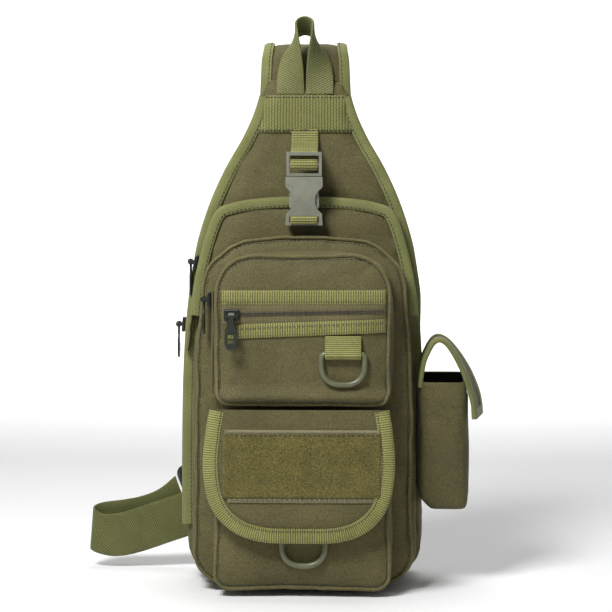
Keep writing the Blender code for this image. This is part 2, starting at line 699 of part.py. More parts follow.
def side_flap(fabric, webbing, hook):
    """The side pocket's lid: a stiff strip that arches up from the bag and hangs down past the pocket."""
    arch = points_mm((89.4, 169), (95, 172), (102.5, 171.2), (110.5, 164))
    drop = points_mm((116.6, 153), (120.5, 142), (124.5, 129), (124, 117))
    path = smooth_path([*arch, *drop], 2)
    pivot = (89 * MM, SIDE_Y, 168.5 * MM)
    half = SIDE_HALF - 1 * MM
    edge_band("side_flap", path, -1.0 * MM, 1.0 * MM, flat(SIDE_Y - half), flat(SIDE_Y + half), fabric, pivot)
    for tag, side in (("front", -1), ("back", 1)):
        near, far = flat(SIDE_Y + side * (half + GAP)), flat(SIDE_Y + side * (half + GAP + 1.2 * MM))
        edge_band(f"side_flap_binding_{tag}", path, -1.6 * MM, 1.6 * MM, near, far, webbing, pivot)
    near, far = flat(SIDE_Y - 11 * MM), flat(SIDE_Y + 11 * MM)
    edge_band("side_hook_patch", path[-5:], 1.0 * MM + GAP, 2.4 * MM, near, far, hook, pivot)


# ---------------------------------------------------------------- shoulder strap


STRAP_Y = BACK_Y + PAD_DEPTH + 4 * MM + PAD_DEPTH / 2  # middle of the padded strap's thickness
STRAP_PIVOT = (0, BACK_Y + 6 * MM, NECK_TOP)


def directions_along(path):
    last = len(path) - 1
    return [(path[min(i + 1, last)] - path[max(i - 1, 0)]).normalized() for i in range(last + 1)]


def shoulder_pad(fabric):
    """The padded strap, which hangs down behind the back from the neck and tapers."""
    route = smooth_path(points_mm((0, 374), (-2, 310), (-10, 240), (-26, 160)), 4)
    left, right = [], []
    for i, (point, along) in enumerate(zip(route, directions_along(route))):
        half = (29 - 9 * i / (len(route) - 1)) * MM
        sideways = half * Vector((along.y, -along.x))
        left.append(point + sideways)
        right.append(point - sideways)
    near, far = flat(STRAP_Y - PAD_DEPTH / 2), flat(STRAP_Y + PAD_DEPTH / 2)
    slab("shoulder_pad", [*left, *reversed(right)], near, far, fabric, 2.5 * MM, STRAP_PIVOT)


def shoulder_webbing(webbing, black):
    """The webbing below the pad, and the ring in its end."""
    tilt = math.radians(20)
    path = smooth_path(points_mm((-25, 152), (-33, 122), (-44, 88), (-57, 68), (-73.4, 57.6)), 3)
    across = [(a.y, 0, -a.x) for a in directions_along(path)]
    across[-1] = (math.sin(tilt), 0, -math.cos(tilt))
    centres = [(p.x, STRAP_Y, p.y) for p in path]
    ribbon("shoulder_webbing", centres, across, WEBBING, STRAP_WIDTH, webbing, STRAP_PIVOT)

    centre = Vector((-83 * MM, STRAP_Y, 54 * MM))
    long, short = Vector((-math.sin(tilt), 0, math.cos(tilt))), Vector((-math.cos(tilt), 0, -math.sin(tilt)))
    half_long, half_short, corner = 19 * MM, 5.5 * MM, 4 * MM
    ring = []
    for start, end_side, edge_side in ((0, 1, 1), (90, -1, 1), (180, -1, -1), (270, 1, -1)):
        middle = centre + long * end_side * (half_long - corner) + short * edge_side * (half_short - corner)
        for a in angles(45, 3, start):
            ring.append(middle + (long * math.cos(a) + short * math.sin(a)) * corner)
    bar = centre - short * half_short
    tube("strap_ring", ring, 2.2 * MM, black, closed=True, origin=tuple(bar), resolution=2)


def strap_loop(webbing):
    """Webbing that leaves the lower corner of the bag, folds back at the far end and returns to the ring."""
    root = Vector((-87.2, 33.5, 47.5)) * MM
    fold = Vector((-150.5, 35.0, 27.5)) * MM
    end = Vector((-94.5, 46, 50.5)) * MM
    radius = 5.5 * MM
    steps = 4
    half_turn = angles(30, 5, 30)
    bend = [fold + Vector((-math.sin(a), 1 - math.cos(a), -0.15 * a)) * radius for a in half_turn]
    start = fold + Vector((0, 2 * radius, -2.0 * MM))
    front = [root.lerp(fold, t / steps) for t in range(steps + 1)]
    rear = [start.lerp(end, t / steps) for t in range(steps + 1)]
    out, back = (root - fold).normalized(), (end - start).normalized()
    out_across, back_across = Vector((-out.z, 0, out.x)), Vector((-back.z, 0, back.x))
    turning = [out_across.lerp(back_across, a / math.pi) for a in half_turn]
    turns = [*[out_across] * len(front), *turning, *[back_across] * len(rear)]
    ribbon("strap_webbing", [*front, *bend, *rear], turns, WEBBING, STRAP_WIDTH, webbing, tuple(root))


def main():
    clear_scene()
    fabric = material("fabric", FABRIC, 0.85)
    back_mesh = material("back_mesh", BACK_MESH, 0.9)
    webbing = material("webbing", WEBBING_COLOUR, 0.7)
    piping = material("piping", PIPING_COLOUR, 0.75)
    patch = material("loop_patch", LOOP_PATCH, 0.95)
    hook = material("hook_patch", BLACK, 0.9)
    plastic = material("plastic", PLASTIC, 0.45)
    black = material("black_plastic", BLACK, 0.35)
    metal = material("gunmetal", GUNMETAL, 0.35, 0.8)
    zip_tape = material("zip_tape", ZIP_TAPE, 0.8)
    bag_body(fabric, back_mesh, webbing, piping)
    front_pockets(fabric, piping, webbing, patch)
    pocket_strips(webbing, zip_tape, metal)
    neck(webbing)
    handle(webbing)
    buckle(plastic, webbing)
    zips(metal, zip_tape)
    rings(plastic, webbing)
    front_flap(fabric, webbing, patch, hook)
    side_pocket(fabric, patch)
    side_flap(fabric, webbing, hook)
    shoulder_pad(fabric)
    shoulder_webbing(webbing, black)
    strap_loop(webbing)


main()
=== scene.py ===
"""The looks of a one-shoulder sling bag: its cloth, webbing, piping, zips and plastic."""

import math

import bmesh
import bpy
import numpy as np
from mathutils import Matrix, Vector, noise
from mathutils.bvhtree import BVHTree


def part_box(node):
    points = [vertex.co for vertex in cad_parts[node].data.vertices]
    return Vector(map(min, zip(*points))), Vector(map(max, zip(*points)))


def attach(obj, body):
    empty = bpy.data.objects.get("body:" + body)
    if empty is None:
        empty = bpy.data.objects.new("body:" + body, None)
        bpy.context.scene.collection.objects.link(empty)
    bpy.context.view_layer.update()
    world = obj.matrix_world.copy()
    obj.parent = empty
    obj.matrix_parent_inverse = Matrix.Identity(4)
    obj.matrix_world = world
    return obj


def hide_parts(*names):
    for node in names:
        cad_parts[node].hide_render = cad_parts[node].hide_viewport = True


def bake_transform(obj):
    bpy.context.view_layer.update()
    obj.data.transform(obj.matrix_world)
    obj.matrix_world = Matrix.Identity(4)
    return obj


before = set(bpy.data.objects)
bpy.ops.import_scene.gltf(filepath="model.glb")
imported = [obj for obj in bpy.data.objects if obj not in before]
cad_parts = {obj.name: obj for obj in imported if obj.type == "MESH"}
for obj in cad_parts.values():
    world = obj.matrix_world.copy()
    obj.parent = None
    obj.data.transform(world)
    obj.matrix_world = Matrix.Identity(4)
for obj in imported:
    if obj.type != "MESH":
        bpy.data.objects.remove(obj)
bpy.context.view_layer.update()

MM = 0.001
FACING = Vector((0, 1, 0))  # from the front of the bag to its back
SIDEWAYS = Vector((1, 0, 0))

# Widths and thicknesses of the trims
STRAP_WIDTH = 32 * MM
RING_WEBBING = 25 * MM
BUCKLE_WEBBING = 19.2 * MM
WEBBING = 1.5 * MM
PIPING = 1.35 * MM
STITCH_PITCH = 3.0 * MM
STITCH_RADIUS = 0.32 * MM
OVERLAP = 1 * MM  # how far each layer reaches into the one behind it


# ---- places read from the frame


def leaning_face(node, side):
    """Depth of a node's large front (-1) or back (+1) face, as a function of height."""
    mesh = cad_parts[node].data
    faces = [p for p in mesh.polygons if p.normal.y * side > 0.9]
    largest = max(p.area for p in faces)
    faces = [p for p in faces if p.area > 0.2 * largest]
    area = sum(p.area for p in faces)
    normal = sum((p.normal * p.area for p in faces), Vector())
    centre = sum((p.center * p.area for p in faces), Vector()) / area
    lean = -normal.z / normal.y
    return lambda z: centre.y + lean * (z - centre.z)


def shifted(face, distance):
    """A face moved back by a distance."""
    return lambda z: face(z) + distance


def depth_middle(node):
    """Depth halfway through a node."""
    return sum(corner.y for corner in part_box(node)) / 2


MAIN_FRONT = leaning_face("main_compartment", -1)
SECOND_FRONT = leaning_face("second_compartment", -1)
FRONT_FRONT = leaning_face("front_compartment", -1)
POCKET_FRONT = leaning_face("upper_pocket", -1)
FLAP_FRONT = leaning_face("front_flap", -1)
BACK_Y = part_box("main_compartment")[1].y
STRAP_Y = depth_middle("shoulder_pad")


# ---- paths and outlines


def points_mm(*pairs):
    return [Vector(pair) * MM for pair in pairs]


def between(start, end, steps):
    """Evenly spaced points from one end to the other; the ends are given in mm."""
    a, b = points_mm(start, end)
    return [a.lerp(b, i / steps) for i in range(steps + 1)]


def rectangle(left, low, right, high):
    """Four corners in X and Z, counter-clockwise from low left."""
    return [Vector(corner) for corner in ((left, low), (right, low), (right, high), (left, high))]


def fade(value, start, span):
    """0 up to the start, then rising to 1 at the end of the span; a negative span runs downwards."""
    return min(1.0, max(0.0, (value - start) / span))


def smooth_path(points, steps=6):
    """A Catmull-Rom curve through the points."""
    points = [Vector(p) for p in points]
    ends = [2 * points[0] - points[1], *points, 2 * points[-1] - points[-2]]
    path = []
    for a, b, c, d in zip(ends, ends[1:], ends[2:], ends[3:]):
        slope, bend, twist = c - a, 2 * a - 5 * b + 4 * c - d, 3 * b - a - 3 * c + d
        shares = [i / steps for i in range(steps)]
        path += [b + 0.5 * (slope * t + bend * t**2 + twist * t**3) for t in shares]
    return [*path, points[-1]]


def angles(step, count, start=0):
    return [math.radians(start + step * k) for k in range(count)]


def arc(centre, radius, start, end, steps=8):
    turns = angles((end - start) / steps, steps + 1, start)
    return [Vector((centre[0] + radius * math.cos(a), centre[1] + radius * math.sin(a))) for a in turns]


def left_of(right):
    """The left-hand copy of a path on the right, run the other way."""
    return [Vector((-p.x, p.y)) for p in reversed(right)]


def mirrored(right):
    return [*right, *[p for p in left_of(right) if abs(p.x) > 1e-6]]


def offset(path, distance, closed=False):
    """A path moved sideways; a positive distance moves a counter-clockwise outline outwards."""
    moved, last = [], len(path) - 1
    for i, point in enumerate(path):
        before = path[i - 1] if i or closed else point
        after = path[(i + 1) % len(path)] if i < last or closed else point
        along = (after - before).normalized()
        moved.append(point + distance * Vector((along.y, -along.x)))
    return moved


def resample(path, step, closed=False):
    """Evenly spaced points along a path."""
    path = [*path, path[0]] if closed else path
    lengths = np.cumsum([0, *[(b - a).length for a, b in zip(path, path[1:])]])
    count = max(2, round(lengths[-1] / step) + 1)
    wanted = np.linspace(0, lengths[-1], count)
    columns = [np.interp(wanted, lengths, [p[i] for p in path]) for i in range(len(path[0]))]
    points = [Vector(values) for values in zip(*columns)]
    return points[:-1] if closed else points


def rounded_box(half, low, high, radius_low, radius_high):
    right = [
        *arc((half - radius_low, low + radius_low), radius_low, -90, 0),
        *arc((half - radius_high, high - radius_high), radius_high, 0, 90),
    ]
    return mirrored(right)


def body_half():
    """Right half of the bag's outline, from the base to the top of the neck."""
    low = points_mm((85, 26), (86, 60), (85.5, 142), (83, 190), (78, 227), (74, 246))
    shoulder = points_mm((66, 270), (55.5, 293), (41, 319), (33, 345), (30, 377))
    corner = arc((60 * MM, 25 * MM), 25 * MM, -90, -10, 8)
    return [*corner, *smooth_path([*low, *shoulder])]


def arch_half(half, shoulder, top, base, radius):
    """Right half of a compartment that ends in a flat arch."""
    side = [
        (half, base + radius), (half + 0.5 * MM, 142 * MM), (half - 3 * MM, 190 * MM),
        (half - 7.5 * MM, 222 * MM), (shoulder, top - 13 * MM),
        (shoulder - 13 * MM, top - 4.5 * MM), (shoulder - 38 * MM, top - 0.8 * MM), (0, top),
    ]
    corner = arc((half - radius, base + radius), radius, -90, -10, 8)
    return [*corner, *smooth_path(side)]


def second_half():
    return arch_half(82.5 * MM, 64 * MM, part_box("second_compartment")[1].z, 1 * MM, 24 * MM)


def front_half():
    return arch_half(81 * MM, 62 * MM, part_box("front_compartment")[1].z, 1 * MM, 24 * MM)


def pocket_outline(node, radius_low, radius_high):
    low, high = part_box(node)
    return rounded_box(high.x, low.z, high.z, radius_low, radius_high)


def over(path, height):
    return [p for p in path if p.y > height]


# ---- meshes


def finish_mesh(name, bm, mat, sharp=40):
    bmesh.ops.recalc_face_normals(bm, faces=bm.faces)
    mesh = bpy.data.meshes.new(name)
    bm.to_mesh(mesh)
    bm.free()
    mesh.materials.append(mat)
    mesh.shade_smooth()
    mesh.set_sharp_from_angle(angle=math.radians(sharp))
    obj = bpy.data.objects.new(name, mesh)
    bpy.context.scene.collection.objects.link(obj)
    return obj


def running_lengths(points):
    """Distance along points from the first of them, and back to it as the last."""
    steps = [(b - a).length for a, b in zip(points, [*points[1:], points[0]])]
    return np.cumsum([0, *steps])


def grid_of_rings(name, rings, mat, closed=False, lengths=None, sharp=40):
    """Skins closed rings of points, with the distance along and round them, in metres, as the UV map."""
    bm = bmesh.new()
    uv = bm.loops.layers.uv.new("cloth")
    verts = [[bm.verts.new(p) for p in ring] for ring in rings]
    count, size = len(rings), len(rings[0])
    if lengths is None:
        lengths = running_lengths([sum(ring, Vector()) / size for ring in rings])
    sides = running_lengths(rings[0])
    for i in range(count if closed else count - 1):
        for k in range(size):
            j, m = (i + 1) % count, (k + 1) % size
            face = bm.faces.new((verts[i][k], verts[i][m], verts[j][m], verts[j][k]))
            places = ((i, k), (i, k + 1), (i + 1, k + 1), (i + 1, k))
            for loop, (a, b) in zip(face.loops, places):
                loop[uv].uv = (lengths[a], sides[b])
    if not closed:
        bm.faces.new(verts[0])
        bm.faces.new(list(reversed(verts[-1])))
    return finish_mesh(name, bm, mat, sharp)


def sweep(name, frames, profile, mat, closed=False, sharp=40):
    """Moves a closed profile along frames, each a point with a sideways and a depth direction."""
    rings = [[point + side * a + depth * b for a, b in profile] for point, side, depth in frames]
    return grid_of_rings(name, rings, mat, closed, running_lengths([f[0] for f in frames]), sharp)


def face_frames(path, face, closed=False):
    """Frames along a path in X and Z that lies on a leaning face; sideways is outwards."""
    frames, last = [], len(path) - 1
    for i, p in enumerate(path):
        before = path[i - 1] if i or closed else p
        after = path[(i + 1) % len(path)] if i < last or closed else p
        along = (after - before).normalized()
        frames.append((Vector((p.x, face(p.y), p.y)), Vector((along.y, 0, -along.x)), FACING))
    return frames


def strip_profile(width, thickness, across=6):
    """A flat tape's section with round edges."""
    half, t = width / 2, thickness / 2
    flat = [half - t - (2 * half - 2 * t) * k / across for k in range(1, across)]
    right = [(half - t + t * math.cos(a), t * math.sin(a)) for a in angles(45, 5, -90)]
    left = [(t - half + t * math.cos(a), t * math.sin(a)) for a in angles(45, 5, 90)]
    return [*right, *[(x, t) for x in flat], *left, *[(-x, -t) for x in flat]]


def directions_along(path):
    last = len(path) - 1
    return [(path[min(i + 1, last)] - path[max(i - 1, 0)]).normalized() for i in range(last + 1)]


def webbing(name, centres, across, width, mat, thickness=WEBBING, sag=0.0):
    """Flat webbing along centres, with its width along the given directions."""
    frames = []
    for centre, along, side in zip(centres, directions_along(centres), across):
        side = side.normalized()
        frames.append((centre, side, along.cross(side).normalized()))
    obj = sweep(name, frames, strip_profile(width, thickness), mat)
    if sag:
        for vert in obj.data.vertices:
            vert.co += Vector((0, 1, 1)) * sag * noise.noise(vert.co * 45)
    return obj


def level_webbing(name, centres, width, mat, thickness=WEBBING):
    """Flat webbing whose width lies level, from left to right."""
    return webbing(name, centres, [SIDEWAYS] * len(centres), width, mat, thickness)


def tube(name, points, radius, mat, closed=False, sides=10):
    """A round cord along the points, with the turns kept level with the path."""
    points = [Vector(p) for p in points]
    count = len(points)
    rings = []
    for i, point in enumerate(points):
        before = points[i - 1] if i or closed else point
        after = points[(i + 1) % count] if i < count - 1 or closed else point
        along = (after - before).normalized()
        side = along.cross(FACING)
        side = side.normalized() if side.length > 0.05 else SIDEWAYS
        up = along.cross(side).normalized()
        turns = angles(360 / sides, sides)
        rings.append([point + (side * math.cos(a) + up * math.sin(a)) * radius for a in turns])
    return grid_of_rings(name, rings, mat, closed, sharp=70)


def beads(name, places, length, radius, mat, sides=6):
    """Many short rounded rods in one mesh; a place is a centre, an axis and an up direction."""
    bm = bmesh.new()
    sections = ((-0.5, 0.45), (-0.3, 1.0), (0.3, 1.0), (0.5, 0.45))
    turns = angles(60, sides)
    for centre, axis, up in places:
        axis = axis.normalized()
        side = axis.cross(up).normalized()
        up = side.cross(axis)
        rings = []
        for t, share in sections:
            middle = centre + axis * t * length
            ring = [middle + (side * math.cos(a) + up * math.sin(a)) * radius * share for a in turns]
            rings.append([bm.verts.new(p) for p in ring])
        for low, high in zip(rings, rings[1:]):
            for k in range(sides):
                m = (k + 1) % sides
                bm.faces.new((low[k], low[m], high[m], high[k]))
        bm.faces.new(list(reversed(rings[0])))
        bm.faces.new(rings[-1])
    return finish_mesh(name, bm, mat, 80)


def stitches(name, points, ups, mat, pitch=STITCH_PITCH):
    """Stitches at points a pitch apart; each up is the way out of the cloth."""
    places = list(zip(points, directions_along(points), ups))
    return beads(name, places, 0.66 * pitch, STITCH_RADIUS, mat)


def stitch_line(name, path, up, mat, closed=False, pitch=STITCH_PITCH):
    """A row of stitches along a path in space."""
    points = resample([Vector(p) for p in path], pitch, closed)
    return stitches(name, points, [up] * len(points), mat, pitch)


def patch(name, corners, surface, lift, mat, step=1.6 * MM, sink=0.5 * MM, rough=0.0):
    """A thin piece of tape or cloth laid on a surface, between four corners in X and Z."""
    low_left, low_right, high_right, high_left = corners
    across = max(2, round((low_right - low_left).length / step))
    up = max(2, round((high_left - low_left).length / step))
    rings = []
    for i in range(across + 1):
        s = i / across
        low, high = low_left.lerp(low_right, s), high_left.lerp(high_right, s)
        front, back = [], []
        for k in range(up + 1):
            t = k / up
            p = low.lerp(high, t)
            edge = min(s, 1 - s, t * up / across, (1 - t) * up / across) * across
            rise = lift * (0.55 + 0.45 * min(1, edge))
            rise += rough * noise.noise(Vector((p.x, 0, p.y)) * 900) * min(1, edge)
            y = surface(p.x, p.y)
            front.append(Vector((p.x, y - rise, p.y)))
            back.append(Vector((p.x, y + sink, p.y)))
        rings.append([*front, *reversed(back)])
    return grid_of_rings(name, rings, mat)


def on_shell(shell, fallback):
    """Depth of a finished shell's front at a place in X and Z."""
    tree = BVHTree.FromObject(shell, bpy.context.evaluated_depsgraph_get())

    def depth(x, z):
        hit = tree.ray_cast(Vector((x, -1, z)), FACING)[0]
        return hit.y if hit is not None and abs(hit.y - fallback(z)) < 8 * MM else fallback(z)

    return depth


# ---- materials


class Shader:
    """A Principled material and the few node steps that the cloths share."""

    def __init__(self, name, roughness, **sockets):
        self.material = bpy.data.materials.new(name)
        self.material.use_nodes = True
        self.tree = self.material.node_tree
        self.shader = self.tree.nodes["Principled BSDF"]
        self.shader.inputs["Roughness"].default_value = roughness
        for socket, value in sockets.items():
            self.shader.inputs[socket.replace("_", " ")].default_value = value

    def node(self, kind, *inputs, **settings):
        made = self.tree.nodes.new(kind)
        for key, value in settings.items():
            setattr(made, key, value)
        for i, value in enumerate(inputs):
            if value is None:
                continue
            if isinstance(value, bpy.types.NodeSocket):
                self.tree.links.new(value, made.inputs[i])
            else:
                made.inputs[i].default_value = value
        return made

    def math(self, operation, a, b=0.0, c=0.0):
        return self.node("ShaderNodeMath", a, b, c, operation=operation).outputs[0]

    def wave(self, coordinate, pitch, phase=0.0):
        """From 0 to 1 and back once per pitch."""
        turned = self.math("MULTIPLY_ADD", coordinate, 2 * math.pi / pitch, phase)
        return self.math("MULTIPLY_ADD", self.math("SINE", turned), 0.5, 0.5)

    def coordinates(self, output):
        """X, Y and Z, in metres, of the given texture coordinate."""
        place = self.node("ShaderNodeTexCoord").outputs[output]
        return place, self.node("ShaderNodeSeparateXYZ", place).outputs

    def noise(self, place, scale, detail=2.0):
        made = self.node("ShaderNodeTexNoise", noise_dimensions="3D")
        self.tree.links.new(place, made.inputs["Vector"])
        made.inputs["Scale"].default_value = scale
        made.inputs["Detail"].default_value = detail
        return made.outputs[0]

    def ramp(self, value, *stops):
        """A colour ramp; each stop is a position and a colour."""
        made = self.node("ShaderNodeValToRGB", value)
        ramp = made.color_ramp
        while len(ramp.elements) < len(stops):
            ramp.elements.new(1.0)
        for element, (position, colour) in zip(ramp.elements, stops):
            element.position = position
            element.color = (*colour, 1)
        return made.outputs[0]

    def mix(self, share, a, b, blend="MIX"):
        made = self.node("ShaderNodeMix", data_type="RGBA", blend_type=blend)
        for socket, value in zip((0, 6, 7), (share, a, b)):
            if isinstance(value, bpy.types.NodeSocket):
                self.tree.links.new(value, made.inputs[socket])
            else:
                made.inputs[socket].default_value = value if socket == 0 else (*value, 1)
        return made.outputs[2]

    def bump(self, height, distance, strength=1.0):
        made = self.node("ShaderNodeBump")
        made.inputs["Strength"].default_value = strength
        made.inputs["Distance"].default_value = distance
        self.tree.links.new(height, made.inputs["Height"])
        self.tree.links.new(made.outputs[0], self.shader.inputs["Normal"])

    def colour(self, socket):
        self.tree.links.new(socket, self.shader.inputs["Base Color"])
        return self.material

    def rough(self, socket):
        self.tree.links.new(socket, self.shader.inputs["Roughness"])

    def clouded(self, base, clouds, low, high):
        """The finished material, its base colour shaded from the low to the high tint."""
        shade = self.ramp(clouds, (0.3, low), (0.7, high))
        return self.colour(self.mix(1.0, base, shade, "MULTIPLY"))


def tinted(colour, factor):
    return tuple(min(1.0, c * factor) for c in colour)


def pack_cloth(name, colour, pitch=1.3 * MM):
    """Coated plain-weave nylon: a fine grid of threads, slubs, and cloudy wear."""
    s = Shader(name, 0.72, Sheen_Weight=0.08, Sheen_Roughness=0.45, Specular_IOR_Level=0.25)
    place, (x, y, z) = s.coordinates("Object")
    u = s.math("ADD", x, y)
    v = s.math("MULTIPLY_ADD", y, -0.35, z)
    weft, warp = (s.math("SINE", s.math("MULTIPLY", line, 2 * math.pi / pitch)) for line in (u, v))
    weave = s.math("MULTIPLY_ADD", s.math("MULTIPLY", weft, warp), 0.5, 0.5)
    clouds = s.noise(place, 26, 4)
    specks = s.noise(place, 900, 1)
    stretched = s.node("ShaderNodeCombineXYZ", s.math("MULTIPLY", u, 40), y, s.math("MULTIPLY", v, 700))
    slubs = s.noise(stretched.outputs[0], 1, 2)
    tone = s.math("MULTIPLY_ADD", weave, 0.36, s.math("MULTIPLY", specks, 0.5))
    tone = s.math("ADD", tone, s.math("MULTIPLY", slubs, 0.14))
    base = s.ramp(tone, (0.25, tinted(colour, 0.42)), (0.5, colour), (0.75, tinted(colour, 1.6)))
    s.bump(s.math("ADD", weave, s.math("MULTIPLY", specks, 0.7)), 0.14 * MM, 0.55)
    s.rough(s.math("MULTIPLY_ADD", specks, 0.24, 0.6))
    return s.clouded(base, clouds, (0.82, 0.82, 0.80), (1.1, 1.1, 1.08))


def ribbed_tape(name, colour, rib, warp=1.1 * MM, diagonal=0.0, depth=0.35 * MM, contrast=1.0, fan=0.0):
    """Woven webbing: ribs across its length and finer threads along it; slanted or fanned where asked."""
    s = Shader(name, 0.62, Sheen_Weight=0.12, Sheen_Roughness=0.4, Specular_IOR_Level=0.3)
    place, (x, y, z) = s.coordinates("Object")
    u, v = s.coordinates("UV")[1][:2]
    along = s.math("MULTIPLY_ADD", v, diagonal, u)
    if fan:
        along = s.math("MULTIPLY_ADD", s.math("ABSOLUTE", x), -fan, z)
    ribs = s.math("POWER", s.wave(along, rib), 0.7)
    threads = s.wave(v, warp)
    specks = s.noise(place, 1100, 2)
    clouds = s.noise(place, 60, 3)
    height = s.math("MULTIPLY", ribs, s.math("MULTIPLY_ADD", threads, 0.3, 0.7))
    tone = s.math("MULTIPLY_ADD", height, 0.62, s.math("MULTIPLY", specks, 0.42))
    base = s.ramp(tone, (0.18, tinted(colour, 1 - 0.74 * contrast)), (0.5, tinted(colour, 0.88)),
                  (0.9, tinted(colour, 1 + 0.6 * contrast)))
    s.bump(s.math("ADD", height, s.math("MULTIPLY", specks, 0.35)), depth, 0.8)
    return s.clouded(base, clouds, (0.86, 0.86, 0.8), (1.08, 1.08, 1.05))


def basket_tape(name, colour):
    """The neck's coarse webbing: columns of plaited loops, each half a loop out of step with the next."""
    s = Shader(name, 0.66, Sheen_Weight=0.12, Sheen_Roughness=0.4, Specular_IOR_Level=0.3)
    place, (x, y, z) = s.coordinates("Object")
    column, loop = 2.1 * MM, 2.5 * MM
    shift = s.math("MULTIPLY", s.math("PINGPONG", x, column), loop / column)
    columns = s.math("POWER", s.wave(x, column), 0.6)
    loops = s.math("POWER", s.wave(s.math("ADD", z, shift), loop), 0.8)
    specks = s.noise(place, 1000, 2)
    height = s.math("MULTIPLY", columns, s.math("MULTIPLY_ADD", loops, 0.65, 0.35))
    tone = s.math("MULTIPLY_ADD", height, 0.65, s.math("MULTIPLY", specks, 0.4))
    s.bump(height, 0.5 * MM, 0.9)
    dark, middle, light = (tinted(colour, factor) for factor in (0.34, 0.85, 1.4))
    return s.colour(s.ramp(tone, (0.1, dark), (0.45, middle), (0.9, light)))


def pile(name, colour, scale=1250, light=1.7):
    """Napped loop pile, or the stiff hooks that grip it."""
    s = Shader(name, 0.95, Sheen_Weight=0.15, Sheen_Roughness=0.6, Specular_IOR_Level=0.1)
    place = s.coordinates("Object")[0]
    loops = s.noise(place, scale, 3)
    clouds = s.noise(place, 90, 3)
    base = s.ramp(loops, (0.32, tinted(colour, 0.5)), (0.5, colour), (0.68, tinted(colour, light)))
    s.bump(loops, 0.8 * MM, 0.9)
    return s.clouded(base, clouds, (0.84, 0.84, 0.84), (1.12, 1.12, 1.1))


def moulded(name, colour, roughness, metallic=0.0, wear=0.35):
    """Moulded plastic or coated metal, with a fine grain and rubbed edges."""
    s = Shader(name, roughness, Metallic=metallic, Coat_Weight=0.15, Coat_Roughness=0.3)
    place = s.coordinates("Object")[0]
    grain = s.noise(place, 2600, 2)
    smears = s.noise(place, 140, 4)
    edges = s.node("ShaderNodeNewGeometry").outputs["Pointiness"]
    rubbed = s.ramp(edges, (0.5, (0, 0, 0)), (0.6, (wear, wear, wear)))
    base = s.ramp(smears, (0.3, tinted(colour, 0.82)), (0.7, tinted(colour, 1.15)))
    s.bump(grain, 0.03 * MM, 0.5)
    s.rough(s.math("MULTIPLY_ADD", smears, 0.22, roughness - 0.11))
    return s.colour(s.mix(rubbed, base, tinted(colour, 2.4)))


def thread(name, colour):
    s = Shader(name, 0.7, Sheen_Weight=0.3)
    place, (x, y, z) = s.coordinates("Object")
    twist = s.wave(s.math("ADD", s.math("ADD", x, y), z), 0.5 * MM)
    s.bump(twist, 0.08 * MM, 0.6)
    return s.colour(s.ramp(twist, (0.0, tinted(colour, 0.7)), (1.0, tinted(colour, 1.3))))


def spacer_mesh(name, colour):
    """Knitted back padding: rows of small dark holes."""
    s = Shader(name, 0.85, Sheen_Weight=0.4)
    place, (x, y, z) = s.coordinates("Object")
    pitch = 3.2 * MM
    row = s.wave(s.math("ADD", x, z), pitch)
    column = s.wave(s.math("SUBTRACT", x, z), pitch)
    holes = s.math("POWER", s.math("MULTIPLY", row, column), 1.4)
    specks = s.noise(place, 1200, 2)
    base = s.ramp(holes, (0.0, tinted(colour, 1.25)), (0.35, colour), (0.7, tinted(colour, 0.25)))
    s.bump(s.math("SUBTRACT", 1.0, holes), 0.6 * MM, 0.8)
    return s.clouded(base, specks, (0.8, 0.8, 0.8), (1.15, 1.15, 1.15))


OLIVE_CLOTH = (0.104, 0.091, 0.037)
OLIVE_TAPE = (0.2, 0.208, 0.072)
YELLOW_TAPE = (0.25, 0.247, 0.08)

cloth = pack_cloth("pack_cloth", OLIVE_CLOTH)
lining = pack_cloth("dark_lining", (0.02, 0.0185, 0.012))
piping_cloth = pack_cloth("piping_cloth", (0.125, 0.11, 0.045), 0.9 * MM)
tape = ribbed_tape("edge_tape", OLIVE_TAPE, 1.5 * MM, 1.2 * MM, 0.8, contrast=0.62)
bright_tape = ribbed_tape("flap_tape", YELLOW_TAPE, 1.65 * MM)
strip_tape = ribbed_tape("strip_tape", (0.22, 0.215, 0.072), 1.7 * MM, 2.1 * MM)
ring_tape = ribbed_tape("ring_tape", (0.235, 0.232, 0.075), 1.5 * MM, 1.0 * MM)
sling_tape = ribbed_tape("sling_tape", (0.135, 0.14, 0.045), 1.9 * MM, 1.2 * MM, 1.0)
handle_tape = ribbed_tape("handle_tape", (0.175, 0.182, 0.068), 1.7 * MM, 1.4 * MM, contrast=0.8, fan=0.5)
neck_tape = basket_tape("neck_tape", (0.18, 0.183, 0.056))
zip_tape = ribbed_tape("zip_tape_cloth", (0.15, 0.128, 0.06), 0.9 * MM, 1.3 * MM, depth=0.15 * MM)
selvedge = ribbed_tape("selvedge", (0.22, 0.2, 0.11), 1.0 * MM, 1.0 * MM, depth=0.2 * MM)
loop_pile = pile("loop_pile", (0.118, 0.102, 0.029))
hook_pile = pile("hook_pile", (0.02, 0.02, 0.018), 900)
back_cloth = spacer_mesh("back_mesh_cloth", (0.075, 0.074, 0.04))
buckle_plastic = moulded("buckle_plastic", (0.14, 0.143, 0.11), 0.3)
ring_plastic = moulded("ring_plastic", (0.1, 0.105, 0.055), 0.36)
black_plastic = moulded("glossy_black", (0.012, 0.012, 0.012), 0.3)
gunmetal = moulded("gunmetal_coating", (0.03, 0.033, 0.026), 0.34, 0.7)
zip_teeth = moulded("zip_teeth", (0.05, 0.043, 0.03), 0.5)
dark_thread = thread("dark_thread", (0.02, 0.02, 0.012))
olive_thread = thread("olive_thread", (0.11, 0.105, 0.045))


# ---- placing pieces and finishing nodes


def place(piece, body, slot, *nodes):
    """A finished piece rides on its body and stands for the given nodes."""
    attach(piece, body)
    if nodes:
        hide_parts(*nodes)
    return piece


def bent(piece, slot, bodies, start, end, *nodes):
    """A finished piece stands for the given nodes, and its transform is baked into its mesh."""
    if nodes:
        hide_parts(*nodes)
    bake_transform(piece)


